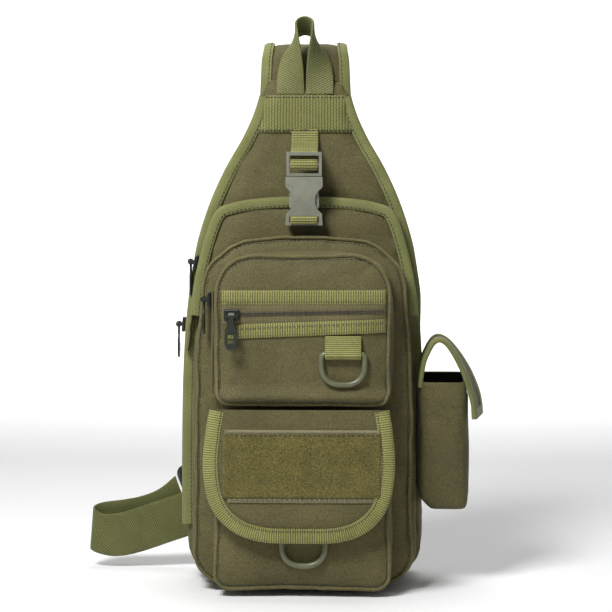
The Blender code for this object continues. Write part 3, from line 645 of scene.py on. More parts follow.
def keep_node(node, mat, width, segments=2):
    """A rigid node keeps its shape, and gets its finish and softer edges."""
    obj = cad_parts[node]
    obj.data.materials.clear()
    obj.data.materials.append(mat)
    mod = obj.modifiers.new("soft_edges", "BEVEL")
    mod.width = width
    mod.segments = segments
    mod.limit_method = "ANGLE"
    mod.angle_limit = math.radians(40)


# ---- padded and sewn shells


def slab(name, outline, front, back, mat):
    bm = bmesh.new()
    rings = [[bm.verts.new((p.x, face(p.y), p.y)) for p in outline] for face in (front, back)]
    bm.faces.new(rings[0])
    bm.faces.new(list(reversed(rings[1])))
    for i in range(len(outline)):
        j = (i + 1) % len(outline)
        bm.faces.new((rings[0][j], rings[0][i], rings[1][i], rings[1][j]))
    return finish_mesh(name, bm, mat)


def bake(obj):
    """Makes the evaluated mesh the object's own and clears its modifiers."""
    graph = bpy.context.evaluated_depsgraph_get()
    mesh = bpy.data.meshes.new_from_object(obj.evaluated_get(graph))
    obj.modifiers.clear()
    obj.data = mesh


def remeshed(obj, voxel):
    mod = obj.modifiers.new("voxels", "REMESH")
    mod.mode = "VOXEL"
    mod.voxel_size = voxel
    bake(obj)
    relax = obj.modifiers.new("relax", "SMOOTH")
    relax.factor = 0.5
    relax.iterations = 2
    bake(obj)


def coordinates(obj):
    points = np.empty(len(obj.data.vertices) * 3)
    obj.data.vertices.foreach_get("co", points)
    return points.reshape(-1, 3)


def inflate(shells, pressure=4.0, frames=20):
    """Fills the shells by cloth simulation; each shell comes with the furthest that its cloth may move."""
    scene = bpy.context.scene
    scene.frame_start, scene.frame_end = 1, frames
    rest = {}
    for obj, _ in shells:
        rest[obj.name] = coordinates(obj)
        mod = obj.modifiers.new("filling", "CLOTH")
        mod.settings.use_pressure = True
        mod.settings.uniform_pressure_force = pressure
        mod.settings.effector_weights.gravity = 0
        mod.settings.tension_stiffness = 15
        mod.settings.bending_stiffness = 0.6
        mod.point_cache.frame_start, mod.point_cache.frame_end = 1, frames
    for number in range(1, frames + 1):
        scene.frame_set(number)
    for obj, limit in shells:
        bake(obj)
        moved = coordinates(obj) - rest[obj.name]
        distance = np.linalg.norm(moved, axis=1, keepdims=True)
        share = limit * np.tanh(distance / limit) / np.maximum(distance, 1e-9)
        obj.data.vertices.foreach_set("co", (rest[obj.name] + moved * share).ravel())
        obj.data.update()
    scene.frame_set(1)


def subdivided(obj):
    mod = obj.modifiers.new("smooth", "SUBSURF")
    mod.levels = mod.render_levels = 1
    bake(obj)


def wrinkled(obj, amount, scale=24.0, seed=0):
    """Soft dents and tension creases, pushed along the normals."""
    subdivided(obj)
    normals = [v.normal.copy() for v in obj.data.vertices]
    for vert, normal in zip(obj.data.vertices, normals):
        p = vert.co + Vector((seed, 0, 0))
        broad = noise.noise(p * scale)
        creased = Vector((p.x + p.z * 0.6, p.y, p.z * 0.35 - p.x * 0.2)) * scale * 3.2
        crease = 1 - abs(noise.noise(creased)) * 2
        vert.co += normal * amount * (0.75 * broad + 0.35 * crease**3)
    obj.data.shade_smooth()


def shell(name, outline, front, back, mat, shrink=1.0 * MM, voxel=4 * MM):
    """A sewn shell before it is filled: the given outline, a little smaller all round."""
    inner = offset(outline, -shrink, closed=True)
    obj = slab(name, inner, shifted(front, shrink), shifted(back, -shrink * 0.3), mat)
    remeshed(obj, voxel)
    return obj


# ---- camera, light and stage

TARGET = Vector((0.0014, -0.013, 0.197))  # the middle of the view


def camera():
    """Looks at the bag's front from well away, a little above its middle."""
    lens = bpy.data.cameras.new("camera")
    lens.lens = 125.0
    lens.sensor_width = 36
    azimuth, elevation, distance = math.radians(1.5), math.radians(5), 1.5
    level = math.cos(elevation)
    back = Vector((math.sin(azimuth) * level, -math.cos(azimuth) * level, math.sin(elevation)))
    obj = bpy.data.objects.new("camera", lens)
    obj.location = TARGET + back * distance
    obj.rotation_euler = (-back).to_track_quat("-Z", "Y").to_euler()
    bpy.context.scene.collection.objects.link(obj)
    bpy.context.scene.camera = obj


def area_light(name, location, size, power, aim=TARGET):
    light = bpy.data.lights.new(name, "AREA")
    light.size = size
    light.energy = power
    obj = bpy.data.objects.new(name, light)
    obj.location = location
    obj.rotation_euler = (Vector(aim) - Vector(location)).to_track_quat("-Z", "Y").to_euler()
    bpy.context.scene.collection.objects.link(obj)


def lights():
    """A key from high on the left, weak fill from the front, and light from above and on the backdrop."""
    area_light("key", (-0.38, -0.6, 1.0), 0.35, 13.5)
    area_light("front", (-0.2, -1.7, 0.6), 1.0, 1.2)
    area_light("top", (0.1, 0.35, 1.5), 0.8, 9)
    area_light("backdrop", (0.0, 1.6, 2.6), 2.5, 260, (0, 5.0, 1.2))
    scene = bpy.context.scene
    scene.world = bpy.data.worlds.new("studio")
    scene.world.use_nodes = True
    background = scene.world.node_tree.nodes["Background"]
    background.inputs[0].default_value = (0.95, 0.96, 1.0, 1)
    background.inputs[1].default_value = 0.12
    scene.view_settings.view_transform = "Standard"


def studio():
    """A pale floor that curves up far behind the bag."""
    paper = Shader("paper", 0.9)
    grain = paper.noise(paper.coordinates("Object")[0], 300)
    pale = paper.colour(paper.ramp(grain, (0.3, (0.86, 0.86, 0.86)), (0.7, (0.88, 0.88, 0.88))))
    half, front, rear, radius, top, sunk = 6.0, -4.0, 4.0, 1.5, 6.0, -1 * MM
    curve = [(rear + radius * math.sin(a), radius - radius * math.cos(a) + sunk) for a in angles(10, 10)]
    line = [(front, sunk), *curve, (rear + radius, top)]
    bm = bmesh.new()
    rows = [[bm.verts.new((x, y, z)) for x in (-half, half)] for y, z in line]
    for low, high in zip(rows, rows[1:]):
        bm.faces.new((low[0], low[1], high[1], high[0]))
    finish_mesh("floor", bm, pale, 80)


# ---- outlines of the filled cloth


def inset_front():
    """The filled front compartment pulls its side seams in by a few millimetres."""
    return [Vector((p.x * 0.975, p.y)) for p in front_half()]


def lowered(outline, depth, start, span):
    """An outline whose points below the start sink, by up to the depth."""
    return [Vector((p.x, p.y - depth * fade(p.y, start, -span))) for p in outline]


def upper_outline():
    """The upper pocket's lower edge is pulled down by what it holds."""
    return lowered(pocket_outline("upper_pocket", 13 * MM, 27 * MM), 2.6 * MM, 160 * MM, 25 * MM)


def lower_outline():
    """The lower pocket's bottom has settled towards the ground."""
    return lowered(pocket_outline("lower_pocket", 9 * MM, 2 * MM), 5.5 * MM, 40 * MM, 32 * MM)


def lip(z):
    """The upper pocket bulges forward just above its lower seam."""
    return 5.4 * MM * math.exp(-(((z - 136.5 * MM) / (5 * MM)) ** 2))


def pad_sections():
    """Sections of the padded strap, up the neck, over it and down behind: centres and half widths."""
    crest = Vector((36 * MM, 369.5 * MM))
    bend = STRAP_Y - crest.x
    rise = [(0.0, crest.x - bend, z * MM) for z in (337, 345, 353, 361)]
    over_neck = [(0.0, crest.x - bend * math.cos(a), crest.y + bend * math.sin(a)) for a in angles(15, 13)]
    down = smooth_path(points_mm((0, 366), (-2, 310), (-10, 240), (-26, 160)), 9)[1:]
    fall = [(p.x, STRAP_Y, p.y) for p in down]
    route = [Vector(p) for p in (*rise, *over_neck, *fall)]
    top = len(rise) + len(over_neck)
    halves = []
    for i in range(len(route)):
        share = max(0, (i - top) / (len(route) - 1 - top))
        halves.append((32.5 - 3.0 * min(1, i / 8) - 9 * share) * MM)
    return route, halves


def pad_frames(route):
    frames = []
    for centre, along in zip(route, directions_along(route)):
        side = (SIDEWAYS - along * along.dot(SIDEWAYS)).normalized()
        frames.append((centre, side, along.cross(side).normalized()))
    return frames


# ---- shells of the bag


def layer_shells():
    """The three layers of the body."""
    body = [p for p in mirrored(body_half()) if p.y < 362 * MM]
    main = shell("main_cloth", body, MAIN_FRONT, lambda z: BACK_Y, cloth, 0.4 * MM)
    second = shell("second_cloth", mirrored(second_half()), SECOND_FRONT, shifted(MAIN_FRONT, OVERLAP), cloth)
    front = shell("front_cloth", mirrored(inset_front()), FRONT_FRONT, shifted(SECOND_FRONT, OVERLAP), cloth)
    return {"main": main, "second": second, "front": front}


def front_pocket_shells():
    rear, voxel = shifted(FRONT_FRONT, OVERLAP), 3.5 * MM
    upper = shell("upper_pocket_cloth", upper_outline(), POCKET_FRONT, rear, cloth, voxel=voxel)
    lower = shell("lower_pocket_cloth", lower_outline(), POCKET_FRONT, rear, cloth, voxel=voxel)
    return {"upper": upper, "lower": lower}


def back_padding():
    low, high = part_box("back_panel")
    outline = mirrored([p for p in offset(body_half(), -4.5 * MM) if p.y < 345 * MM])
    return shell("back_pad_cloth", outline, lambda z: low.y, lambda z: high.y - 1.5 * MM, back_cloth)


def padded_strap():
    route, halves = pad_sections()
    half_thick, seam = 4.0 * MM, 1.5 * MM
    rings = []
    for (centre, side, depth), half in zip(pad_frames(route), halves):
        ring = []
        for a in angles(20, 18):
            across = (half - seam) * math.copysign(abs(math.cos(a)) ** 0.35, math.cos(a))
            ring.append(centre + side * across + depth * (half_thick * math.sin(a)))
        rings.append(ring)
    obj = grid_of_rings("shoulder_pad_cloth", rings, cloth)
    remeshed(obj, 4 * MM)
    return obj


def side_pocket_shell():
    low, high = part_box("side_pocket")
    profile = points_mm((90, 52), (114, 52), (116.5, 55), (116, 100), (114.5, 150), (81, 150), (81, 61))
    return shell("side_pocket_cloth", profile, lambda z: low.y, lambda z: high.y, cloth, 0.6 * MM, 3 * MM)


def bag_shells():
    """All filled cloth: made together, so that one simulation fills them."""
    shells = {**layer_shells(), **front_pocket_shells(), "back": back_padding(), "pad": padded_strap(),
              "side": side_pocket_shell()}
    travel = {"main": 3, "second": 2.5, "front": 3, "upper": 2.2, "lower": 2.5, "back": 3, "pad": 3.5,
              "side": 2}
    inflate([(shells[name], limit * MM) for name, limit in travel.items()])
    dents = {"main": 1.3, "second": 1.2, "front": 1.3, "upper": 0.95, "lower": 1.0, "side": 0.6, "pad": 0.5}
    for seed, (name, amount) in enumerate(dents.items()):
        wrinkled(shells[name], amount * MM, seed=seed)
    quilted(shells["back"])
    bulged(shells["upper"])
    open_top(shells["lower"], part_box("lower_pocket")[1].z)
    open_top(shells["side"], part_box("side_pocket")[1].z, 0.1)
    for name, node in (("main", "main_compartment"), ("second", "second_compartment"),
                       ("front", "front_compartment"), ("upper", "upper_pocket"), ("lower", "lower_pocket"),
                       ("side", "side_pocket")):
        place(shells[name], "bag", "fabric", node)
    place(shells["back"], "bag", "back_mesh", "back_panel")
    over_the_neck(shells["pad"], "fabric", "shoulder_pad")
    return shells


def over_the_neck(piece, slot, *nodes):
    """Pieces of the padded strap, whose cloth turns over the top of the neck, stand for the given nodes."""
    bent(piece, slot, ("bag", "strap"), (0, 27 * MM, 372 * MM), (0, STRAP_Y - 1 * MM, 372 * MM), *nodes)


def quilted(back):
    """Sewn channels across the back padding, and one down its middle."""
    subdivided(back)
    middle = depth_middle("back_panel")
    width, bow, top, depth = 3.2 * MM, 9 * MM, 300 * MM, 2.6 * MM
    for vert in back.data.vertices:
        x, y, z = vert.co
        if y < middle:
            continue
        share = 0.9 * math.exp(-((x / width) ** 2)) if z < top else 0.0
        for seam in (70 * MM, 130 * MM, 190 * MM, 250 * MM, top):
            curve = seam - bow * (1 - (x / (70 * MM)) ** 2)
            share = max(share, math.exp(-(((z - curve) / width) ** 2)))
        vert.co.y -= depth * share
    back.data.shade_smooth()


def bulged(pocket):
    middle = (pocket.bound_box[0][1] + pocket.bound_box[6][1]) / 2
    for vert in pocket.data.vertices:
        if vert.co.y < middle:
            vert.co.y -= lip(vert.co.z)


def open_top(pocket, top, tilt=0.0):
    """Cuts away the top of a filled pocket and gives its cloth a thickness."""
    bm = bmesh.new()
    bm.from_mesh(pocket.data)
    rim = (0, max(vert.co.y for vert in bm.verts), top - 2.2 * MM)
    geometry = [*bm.verts, *bm.edges, *bm.faces]
    bmesh.ops.bisect_plane(bm, geom=geometry, plane_co=rim, plane_no=(0, -tilt, 1), clear_outer=True)
    bm.to_mesh(pocket.data)
    bm.free()
    pocket.data.materials.append(lining)
    wall = pocket.modifiers.new("cloth", "SOLIDIFY")
    wall.thickness = 1.3 * MM
    wall.offset = -1
    wall.material_offset = 1
    bake(pocket)


# ---- edges: tapes and piping


def wrap_profile(front, back, thickness=1.1 * MM):
    """A tape folded over a seam: a width on the front face, and a width on the side."""
    t = thickness
    outer = [(-front, 0.0), (-front + 0.4 * MM, -t * 0.9), (-front * 0.6, -t * 1.15),
             (-front * 0.3, -t * 1.15), (-0.6 * MM, -t), (0.8 * MM, -t * 0.55),
             (t + 0.5 * MM, 0.7 * MM), (t + 0.5 * MM, back)]
    return [*outer, (-0.6 * MM, back), (-0.6 * MM, 0.8 * MM), (-front, 0.8 * MM)]


def edge_tape(name, path, face, front, back, node):
    """A binding over an edge, with its row of stitches along the inner side."""
    path = resample(path, 2.5 * MM)
    binding = sweep(name, face_frames(path, face), wrap_profile(front, back), tape, sharp=50)
    place(binding, "bag", "webbing", node)
    line = [(p.x, face(p.y) - 1.35 * MM, p.y) for p in offset(path, -front * 0.72)]
    place(stitch_line(f"{name}_stitches", line, -FACING, dark_thread), "bag", "webbing")


def body_tapes():
    """The body's tapes are drawn in at the neck, and on the right also behind the side pocket."""
    for side, lowest in (("right", 120 * MM), ("left", 40 * MM)):
        path = []
        for p in (point for point in over(body_half(), lowest) if point.y < 349 * MM):
            drawn_in = 1.8 * MM * fade(p.y, 318 * MM, 28 * MM)
            if side == "right":
                drawn_in += 2.8 * MM * fade(p.y, 205 * MM, -25 * MM)
            path.append(Vector((p.x - drawn_in, p.y)))
        path = path if side == "right" else left_of(path)
        edge_tape(f"body_tape_{side}", path, MAIN_FRONT, 7.0 * MM, 6 * MM, f"body_binding_{side}")


def second_tape():
    arch = over(second_half(), 186 * MM)
    edge_tape("second_tape", [*arch, *left_of(arch[:-1])], SECOND_FRONT, 6.2 * MM, 5 * MM, "second_binding")


def pipings(shells):
    front = offset(mirrored(inset_front()), -1.6 * MM, True)
    piped("front_edge", shells["front"], front, FRONT_FRONT, "front_piping", closed=True)

    def bulging(z):
        return POCKET_FRONT(z) - lip(z)

    piped("upper_pocket_edge", shells["upper"], upper_outline(), bulging, "upper_pocket_piping", closed=True)
    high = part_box("lower_pocket_piping")[1].z
    half = [p for p in lower_outline() if p.x >= 0 and p.y < high]
    half.append(Vector((half[-1].x, high)))
    piped("lower_pocket_edge", shells["lower"], [*left_of(half), *half], POCKET_FRONT, "lower_pocket_piping")


def hugging(piece, points, lift):
    """Points moved onto the nearest cloth, a little proud of it, then smoothed along their line."""
    mesh = piece.data
    tree = BVHTree.FromPolygons([v.co for v in mesh.vertices], [tuple(f.vertices) for f in mesh.polygons])
    moved = []
    for point in points:
        hit, normal, _, _ = tree.find_nearest(Vector(point))
        moved.append(hit + normal * lift)
    last = len(moved) - 1
    return [(moved[max(0, i - 1)] + 2 * p + moved[min(last, i + 1)]) / 4 for i, p in enumerate(moved)]


def piped(name, piece, path, face, node, closed=False):
    """Piping round a seam, and the dark line of stitches beside it."""
    path = resample(path, 2.5 * MM, closed)
    points = []
    for p in offset(path, 0.2 * MM, closed):
        wobble = 0.9 * MM * noise.noise(Vector((p.x, p.y, face(0))) * 34)
        points.append((p.x + wobble, face(p.y) + 0.2 * MM + wobble, p.y + wobble))
    cord = tube(f"{name}_piping", hugging(piece, points, 0.6 * PIPING), PIPING, piping_cloth, closed)
    place(cord, "bag", "piping", node)
    inner = offset(path, -2.6 * MM, closed)
    seam = hugging(piece, [(p.x, face(p.y) - 2 * MM, p.y) for p in inner], 0.1 * MM)
    place(stitch_line(f"{name}_stitches", seam, -FACING, dark_thread, closed), "bag", "piping")


# ---- front pockets


def upper_pocket_trims(shells):
    surface = on_shell(shells["upper"], POCKET_FRONT)
    strips = (
        ("strip_upper", ((-56, 200.5), (57.5, 201), (57.5, 211), (-56, 210.5)), ((-55, 203), (57, 203.4))),
        ("strip_lower", ((-52, 177), (57.5, 181.5), (57.5, 191), (-52, 187)), ((-51, 184), (57, 188.6))),
    )
    for node, corners, _ in strips:
        strip = patch(f"{node}_webbing", points_mm(*corners), surface, 1.9 * MM, strip_tape, rough=0.3 * MM)
        place(strip, "bag", "webbing", node)
    middle = points_mm((-56, 187), (57.5, 190.5), (57.5, 201.5), (-56, 201))
    band = patch("pocket_zip_cloth", middle, surface, 1.0 * MM, zip_tape)
    place(band, "bag", "zip_tape", "pocket_zip_tape")
    for node, _, seam in strips:
        line = [(p.x, surface(p.x, p.y) - 2.1 * MM, p.y) for p in between(*seam, 40)]
        place(stitch_line(f"{node}_stitches", line, -FACING, olive_thread), "bag", "webbing")
    path = resample(between((-44, 194), (56.5, 196.2), 60), 1.1 * MM)
    line = [Vector((p.x, surface(p.x, p.y) - 1.5 * MM, p.y)) for p in path]
    zip_rows("pocket_zip", line, Vector((0, 0, 1)), -FACING, "pocket_zip_coil")


def zip_rows(name, line, across, out, *nodes):
    """Two rows of fine coils that meet along the middle of the zip."""
    places = [(point + across * side * 0.75 * MM, across, out) for point in line for side in (-1, 1)]
    place(beads(f"{name}_coils", places, 1.5 * MM, 0.42 * MM, zip_teeth), "bag", "zip_metal", *nodes)


def lower_pocket_trims(shells):
    surface = on_shell(shells["lower"], POCKET_FRONT)
    low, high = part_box("pocket_hem")
    corners = rectangle(low.x, low.z, high.x, high.z - 1 * MM)
    hem = patch("pocket_hem_webbing", corners, surface, 1.2 * MM, tape)
    place(hem, "bag", "webbing", "pocket_hem")
    low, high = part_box("pocket_loop_patch")
    corners = rectangle(low.x, low.z, high.x, high.z)
    loops = patch("pocket_loop_pile", corners, surface, 1.8 * MM, loop_pile, rough=0.5 * MM)
    place(loops, "bag", "loop_patch", "pocket_loop_patch")


# ---- front flap


def flap_half():
    edge = points_mm((0, 39), (24, 39.7), (42, 45), (55, 56), (62, 71), (64.5, 92), (63, 112), (60.5, 128.6))
    return smooth_path(edge)


def flap_depth(x, z):
    """The flap's front bows out a little across its width, with slight dents."""
    bow = 1.3 * MM * (1 - (x / (64.5 * MM)) ** 2)
    return FLAP_FRONT(z) - bow + 0.25 * MM * noise.noise(Vector((x, 0, z)) * 40)


def flap_skew(x):
    """The flap reaches a little further to its left than to its right."""
    return x * (1.055 if x < 0 else 0.985)


def width_at(half, z):
    for low, high in zip(half, half[1:]):
        if low.y <= z <= high.y:
            return low.x + (high.x - low.x) * (z - low.y) / (high.y - low.y)
    return half[-1].x


def flap_heights(low, high, count=56, curved=0.4):
    """Rows up the flap: close together where the lower edge turns, then evenly spaced."""
    start = low + (high - low) * (1 - math.cos(curved * math.pi / 2))
    heights = []
    for t in (i / count for i in range(count + 1)):
        if t < curved:
            heights.append(low + (high - low) * (1 - math.cos(t * math.pi / 2)))
        else:
            heights.append(start + (high - start) * (t - curved) / (1 - curved))
    return heights


def flap_panel(half):
    rings = []
    for z in flap_heights(half[0].y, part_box("front_flap")[1].z):
        wide = max(width_at(half, z), 6 * MM) - 1 * MM
        across = [flap_skew(-wide + 2 * wide * k / 40) for k in range(41)]
        front = [Vector((x, flap_depth(x, z), z)) for x in across]
        back = [Vector((x, flap_depth(x, z) + 2.0 * MM, z)) for x in reversed(across)]
        rings.append([*front, *back])
    place(grid_of_rings("flap_cloth", rings, cloth), "flap", "fabric", "front_flap")


def flap_edge(half):
    """Tape folded round the flap's sides and lower edge, sewn along its inner side."""
    path = resample([Vector((flap_skew(p.x), p.y)) for p in (*left_of(half[1:]), *half)], 2.2 * MM)
    frames = []
    for point, out, depth in face_frames(path, FLAP_FRONT):
        frames.append((Vector((point.x, flap_depth(point.x, point.z), point.z)), out, depth))
    profile = points_mm((-10, 0.3), (-9.7, -1.2), (-6, -1.5), (-2, -1.32), (0, -0.2), (0.5, 1.0), (0, 2.2),
                        (-2, 3.0), (-8, 2.9), (-8, 2.0), (-1, 1.9), (-1, 0.4))
    place(sweep("flap_edge_tape", frames, profile, bright_tape, sharp=60), "flap", "webbing", "flap_binding")
    inner = offset(path, -8.2 * MM)
    line = [(p.x, flap_depth(edge.x, edge.y) - 1.6 * MM, p.y) for p, edge in zip(inner, path)]
    place(stitch_line("flap_edge_stitches", line, -FACING, dark_thread, pitch=2.4 * MM), "flap", "webbing")


def flap_patches():
    """The loop panel with a sewn selvedge above and below it, and the hooks behind the flap."""
    low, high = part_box("loop_panel")
    wide = 54.5 * MM
    corners = rectangle(-wide, low.z, wide, high.z - 1.5 * MM)
    panel = patch("flap_loop_pile", corners, flap_depth, 2.0 * MM, loop_pile, 1.1 * MM, rough=0.9 * MM)
    place(panel, "flap", "loop_patch", "loop_panel")
    selvedge_edge("selvedge_upper", high.z - 1.6 * MM, 53.5 * MM, -0.4 * MM, 52)
    selvedge_edge("selvedge_lower", low.z - 2.8 * MM, 51 * MM, 2.9 * MM, 48)
    low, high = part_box("flap_hook_patch")
    corners = rectangle(low.x, low.z, high.x, high.z)
    rear = shifted_surface(flap_depth, 3.6 * MM)
    hooks = patch("flap_hooks", corners, rear, 0.2 * MM, hook_pile, sink=0.4 * MM)
    place(hooks, "flap", "hook_patch", "flap_hook_patch")


def shifted_surface(surface, distance):
    return lambda x, z: surface(x, z) + distance


def selvedge_edge(name, height, wide, seam_rise, seam_reach):
    """A woven strip from its lower edge up, with one row of stitches at a rise from that edge."""
    corners = rectangle(-wide, height, wide, height + 3.0 * MM)
    place(patch(name, corners, flap_depth, 1.6 * MM, selvedge, 1.5 * MM), "flap", "loop_patch")
    z = height + seam_rise
    row = [(x * MM, flap_depth(x * MM, z) - 2.3 * MM, z) for x in range(-seam_reach, seam_reach + 1, 2)]
    place(stitch_line(f"{name}_stitches", row, -FACING, dark_thread, pitch=3.4 * MM), "flap", "loop_patch")


# ---- neck and handle


def neck_band(shells):
    surface = on_shell(shells["main"], MAIN_FRONT)
    corners = points_mm((-35, 319), (35, 319), (28, 345.5), (-28, 345.5))
    band = patch("neck_webbing", corners, surface, 2.0 * MM, neck_tape, rough=0.2 * MM)
    place(band, "bag", "webbing", "neck_band")
    for name, z, half in (("neck_stitches_low", 320.5, 33), ("neck_stitches_high", 344, 27)):
        row = [(x * MM, surface(x * MM, z * MM) - 2.3 * MM, z * MM) for x in range(-half, half + 1, 3)]
        place(stitch_line(name, row, -FACING, dark_thread), "bag", "webbing")


def grab_handle():
    """Each leg starts flat on the neck and twists edge-on; a bow joins the two and leans back."""
    base_z, top_z = 346.5 * MM, 396 * MM
    foot, bend, width = 10.4 * MM, 6.2 * MM, 19.6 * MM
    tip_back = math.radians(40)
    face = shifted(MAIN_FRONT, -1.4 * MM)
    leg, across = [], []
    for t in (i / 24 for i in range(25)):
        z = base_z + t * (top_z - bend - base_z)
        turn = math.radians(90) * t**1.5
        lean = tip_back * t**3
        reach = width / 2 * math.sin(turn)
        leg.append(Vector((foot + (bend - foot) * t**3, face(min(z, 377 * MM)) - reach, z)))
        edge_on = Vector((0, math.cos(lean), -math.sin(lean)))
        across.append(Vector((math.cos(turn), 0, 0)) + math.sin(turn) * edge_on)
    bow = []
    for angle in angles(10, 17, 10):
        side, rise = bend * (math.cos(angle) - 1), bend * math.sin(angle)
        bow.append(leg[-1] + Vector((side, rise * math.sin(tip_back), rise * math.cos(tip_back))))
    centres = [*leg, *bow, *[Vector((-c.x, c.y, c.z)) for c in reversed(leg)]]
    turns = [*across, *[across[-1]] * len(bow), *[Vector((-a.x, a.y, a.z)) for a in reversed(across)]]
    handle = webbing("handle_webbing", centres, turns, width, handle_tape, 1.6 * MM)
    place(handle, "handle", "webbing", "handle_loop")


# ---- buckle


def on_centre(*places):
    """A smooth path in the bag's middle plane through points given by depth and height."""
    return smooth_path([Vector((0, y, z)) for y, z in places])


def buckle_plastics():
    for node in ("buckle_socket", "buckle_plug"):
        keep_node(node, buckle_plastic, 0.7 * MM, 3)
    for node in ("latch_left", "latch_right"):
        keep_node(node, buckle_plastic, 0.5 * MM)


def compression_strap():
    """Webbing from under the neck band to the plug, and its turn round the plug's bar."""
    plug_y = depth_middle("buckle_plug")
    face = shifted(MAIN_FRONT, -1.2 * MM)
    route = on_centre(
        (face(321 * MM) - 2.4 * MM, 321 * MM), (face(315 * MM) - 3.4 * MM, 315 * MM),
        (face(311 * MM) - 6 * MM, 310.5 * MM), (plug_y + 7 * MM, 306.5 * MM),
        (plug_y + 3.9 * MM, 303.5 * MM), (plug_y + 2.0 * MM, 298.5 * MM),
    )
    strap = level_webbing("compression_webbing", route, BUCKLE_WEBBING, strip_tape)
    bent(strap, "webbing", ("bag", "plug"), (0, 0, 317 * MM), (0, 0, 305 * MM), "compression_strap")
    bar_y, bar_z = plug_y - 0.2 * MM, sum(c.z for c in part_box("strap_fold")) / 2
    turn = [Vector((0, bar_y + 3.2 * MM * math.sin(a), bar_z + 3.3 * MM * math.cos(a)))
            for a in angles(20, 10, -180)]
    place(level_webbing("ladder_webbing", turn, BUCKLE_WEBBING, strip_tape), "plug", "webbing", "strap_fold")


def socket_tab():
    """The webbing that holds the socket: sewn to the second layer, and turned through the socket's slot."""
    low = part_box("buckle_socket")[0]
    slot_z = low.z + 4.4 * MM
    face = shifted(SECOND_FRONT, -1.2 * MM)
    route = on_centre(
        (face(261 * MM), 265 * MM), (face(257 * MM) - 1 * MM, 259 * MM),
        (low.y + 5.0 * MM, slot_z + 1.5 * MM), (low.y + 0.2 * MM, slot_z + 1.4 * MM),
        (low.y - 0.9 * MM, slot_z - 0.4 * MM), (low.y - 0.3 * MM, slot_z - 3.2 * MM),
    )
    tab = level_webbing("buckle_tab_webbing", route, BUCKLE_WEBBING, strip_tape)
    place(tab, "bag", "webbing", "buckle_tab")


# ---- rings


def d_outline(half, bar_z, drop):
    """A D lying on its side: a straight bar with small corners, and a bow below it."""
    straight, corner = 6 * MM, 2.5 * MM
    bow = []
    for a in angles(6, 31):
        across = math.copysign(abs(math.cos(a)) ** 0.78, math.cos(a))
        bow.append(Vector((half * across, bar_z - straight - (drop - straight) * math.sin(a) ** 0.82)))
    left = arc((-half + corner, bar_z - corner), corner, 180, 90)
    right = arc((half - corner, bar_z - corner), corner, 90, 0)
    return resample([*left, *right, *bow], 1.3 * MM, closed=True)


def ring_and_tab(name, tab_name, body):
    """A D of round wire, and the webbing that comes down, turns under its bar and goes back up."""
    low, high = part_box(name)
    x, wire, off = (low.x + high.x) / 2, 2.0 * MM, 4.2 * MM
    half, bar_z = (high.x - low.x) / 2 - wire, high.z - wire
    path = d_outline(half, bar_z, bar_z - low.z - wire)
    points = [(x + p.x, POCKET_FRONT(p.y) - off, p.y) for p in path]
    ring = tube(f"{name}_wire", points, wire, ring_plastic, closed=True, sides=14)
    place(ring, body, "olive_plastic", name)

    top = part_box(tab_name)[1].z
    reach = wire + 0.4 * MM + 0.65 * MM
    rise, far = top - bar_z, off + reach
    down = [(1.0 * MM, top - rise * k / 8) for k in range(8)]
    under = [(off + reach * math.cos(a), bar_z + reach * math.sin(a)) for a in angles(18, 11, -180)]
    up = [(far + (2.9 * MM - far) * (k / 9) ** 0.7, bar_z + rise * k / 9) for k in range(1, 10)]
    route = [Vector((x, POCKET_FRONT(z) - out, z)) for out, z in (*down, *under, *up)]
    tab = level_webbing(f"{tab_name}_webbing", route, RING_WEBBING, ring_tape, 1.2 * MM)
    place(tab, "bag", "webbing", tab_name)


# ---- side zips, sliders and pulls


def side_zip(name):
    """A zip tape on the left side, along the solid that stands for it, with its coils."""
    node = f"{name}_tape"
    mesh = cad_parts[node].data
    rows = []
    for z in sorted({round(v.co.z, 5) for v in mesh.vertices}):
        points = [v.co for v in mesh.vertices if abs(v.co.z - z) < 2e-5]
        rows.append((min(p.x for p in points), min(p.y for p in points), max(p.y for p in points), z))
    path = resample([Vector((x, (near + far) / 2, z)) for x, near, far, z in rows], 1.2 * MM)
    wide = max(far - near for _, near, far, _ in rows)
    band = webbing(f"{name}_cloth", path, [FACING] * len(path), wide, zip_tape, 1.0 * MM)
    place(band, "bag", "zip_tape", node)
    zip_rows(name, [point - SIDEWAYS * 0.7 * MM for point in path], FACING, -SIDEWAYS)


def sliders_and_pulls():
    for name in ("front", "gusset", "second", "main"):
        keep_node(f"{name}_zip_slider", gunmetal, 0.35 * MM)
        keep_node(f"{name}_zip_pull", gunmetal, 0.25 * MM)


# ---- side pocket's lid


def side_lid():
    """The lid's tab comes up out of the side seam, arches over the mouth and hangs down outside."""
    low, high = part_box("side_flap")
    wide = high.y - low.y - 4 * MM
    arch = points_mm((88.5, 167), (91.5, 171.5), (96, 173.5), (102, 170), (108.5, 161.5))
    drop = points_mm((114.5, 151), (119, 140), (122.3, 129), (123.4, 117.5))
    root = points_mm((82, 140), (83.2, 150), (85, 159), (88.5, 167))
    rows = lid_band("lid", smooth_path([*arch, *drop]), wide, "side_flap")
    lid_end(rows, wide)
    lid_band("lid_root", smooth_path(root), wide, "bag")


def lid_rows(path):
    """Centre, width direction and outward direction along the lid, which turns a little as it falls."""
    middle = depth_middle("side_flap")
    centres, across = [], []
    for p in resample(path, 1.8 * MM):
        turn = math.radians(11) * fade(p.x, 96 * MM, 24 * MM)
        centres.append(Vector((p.x, middle, p.y)))
        across.append(Vector((math.sin(turn), math.cos(turn), 0)))
    return [(c, a, along.cross(a)) for c, a, along in zip(centres, across, directions_along(centres))]


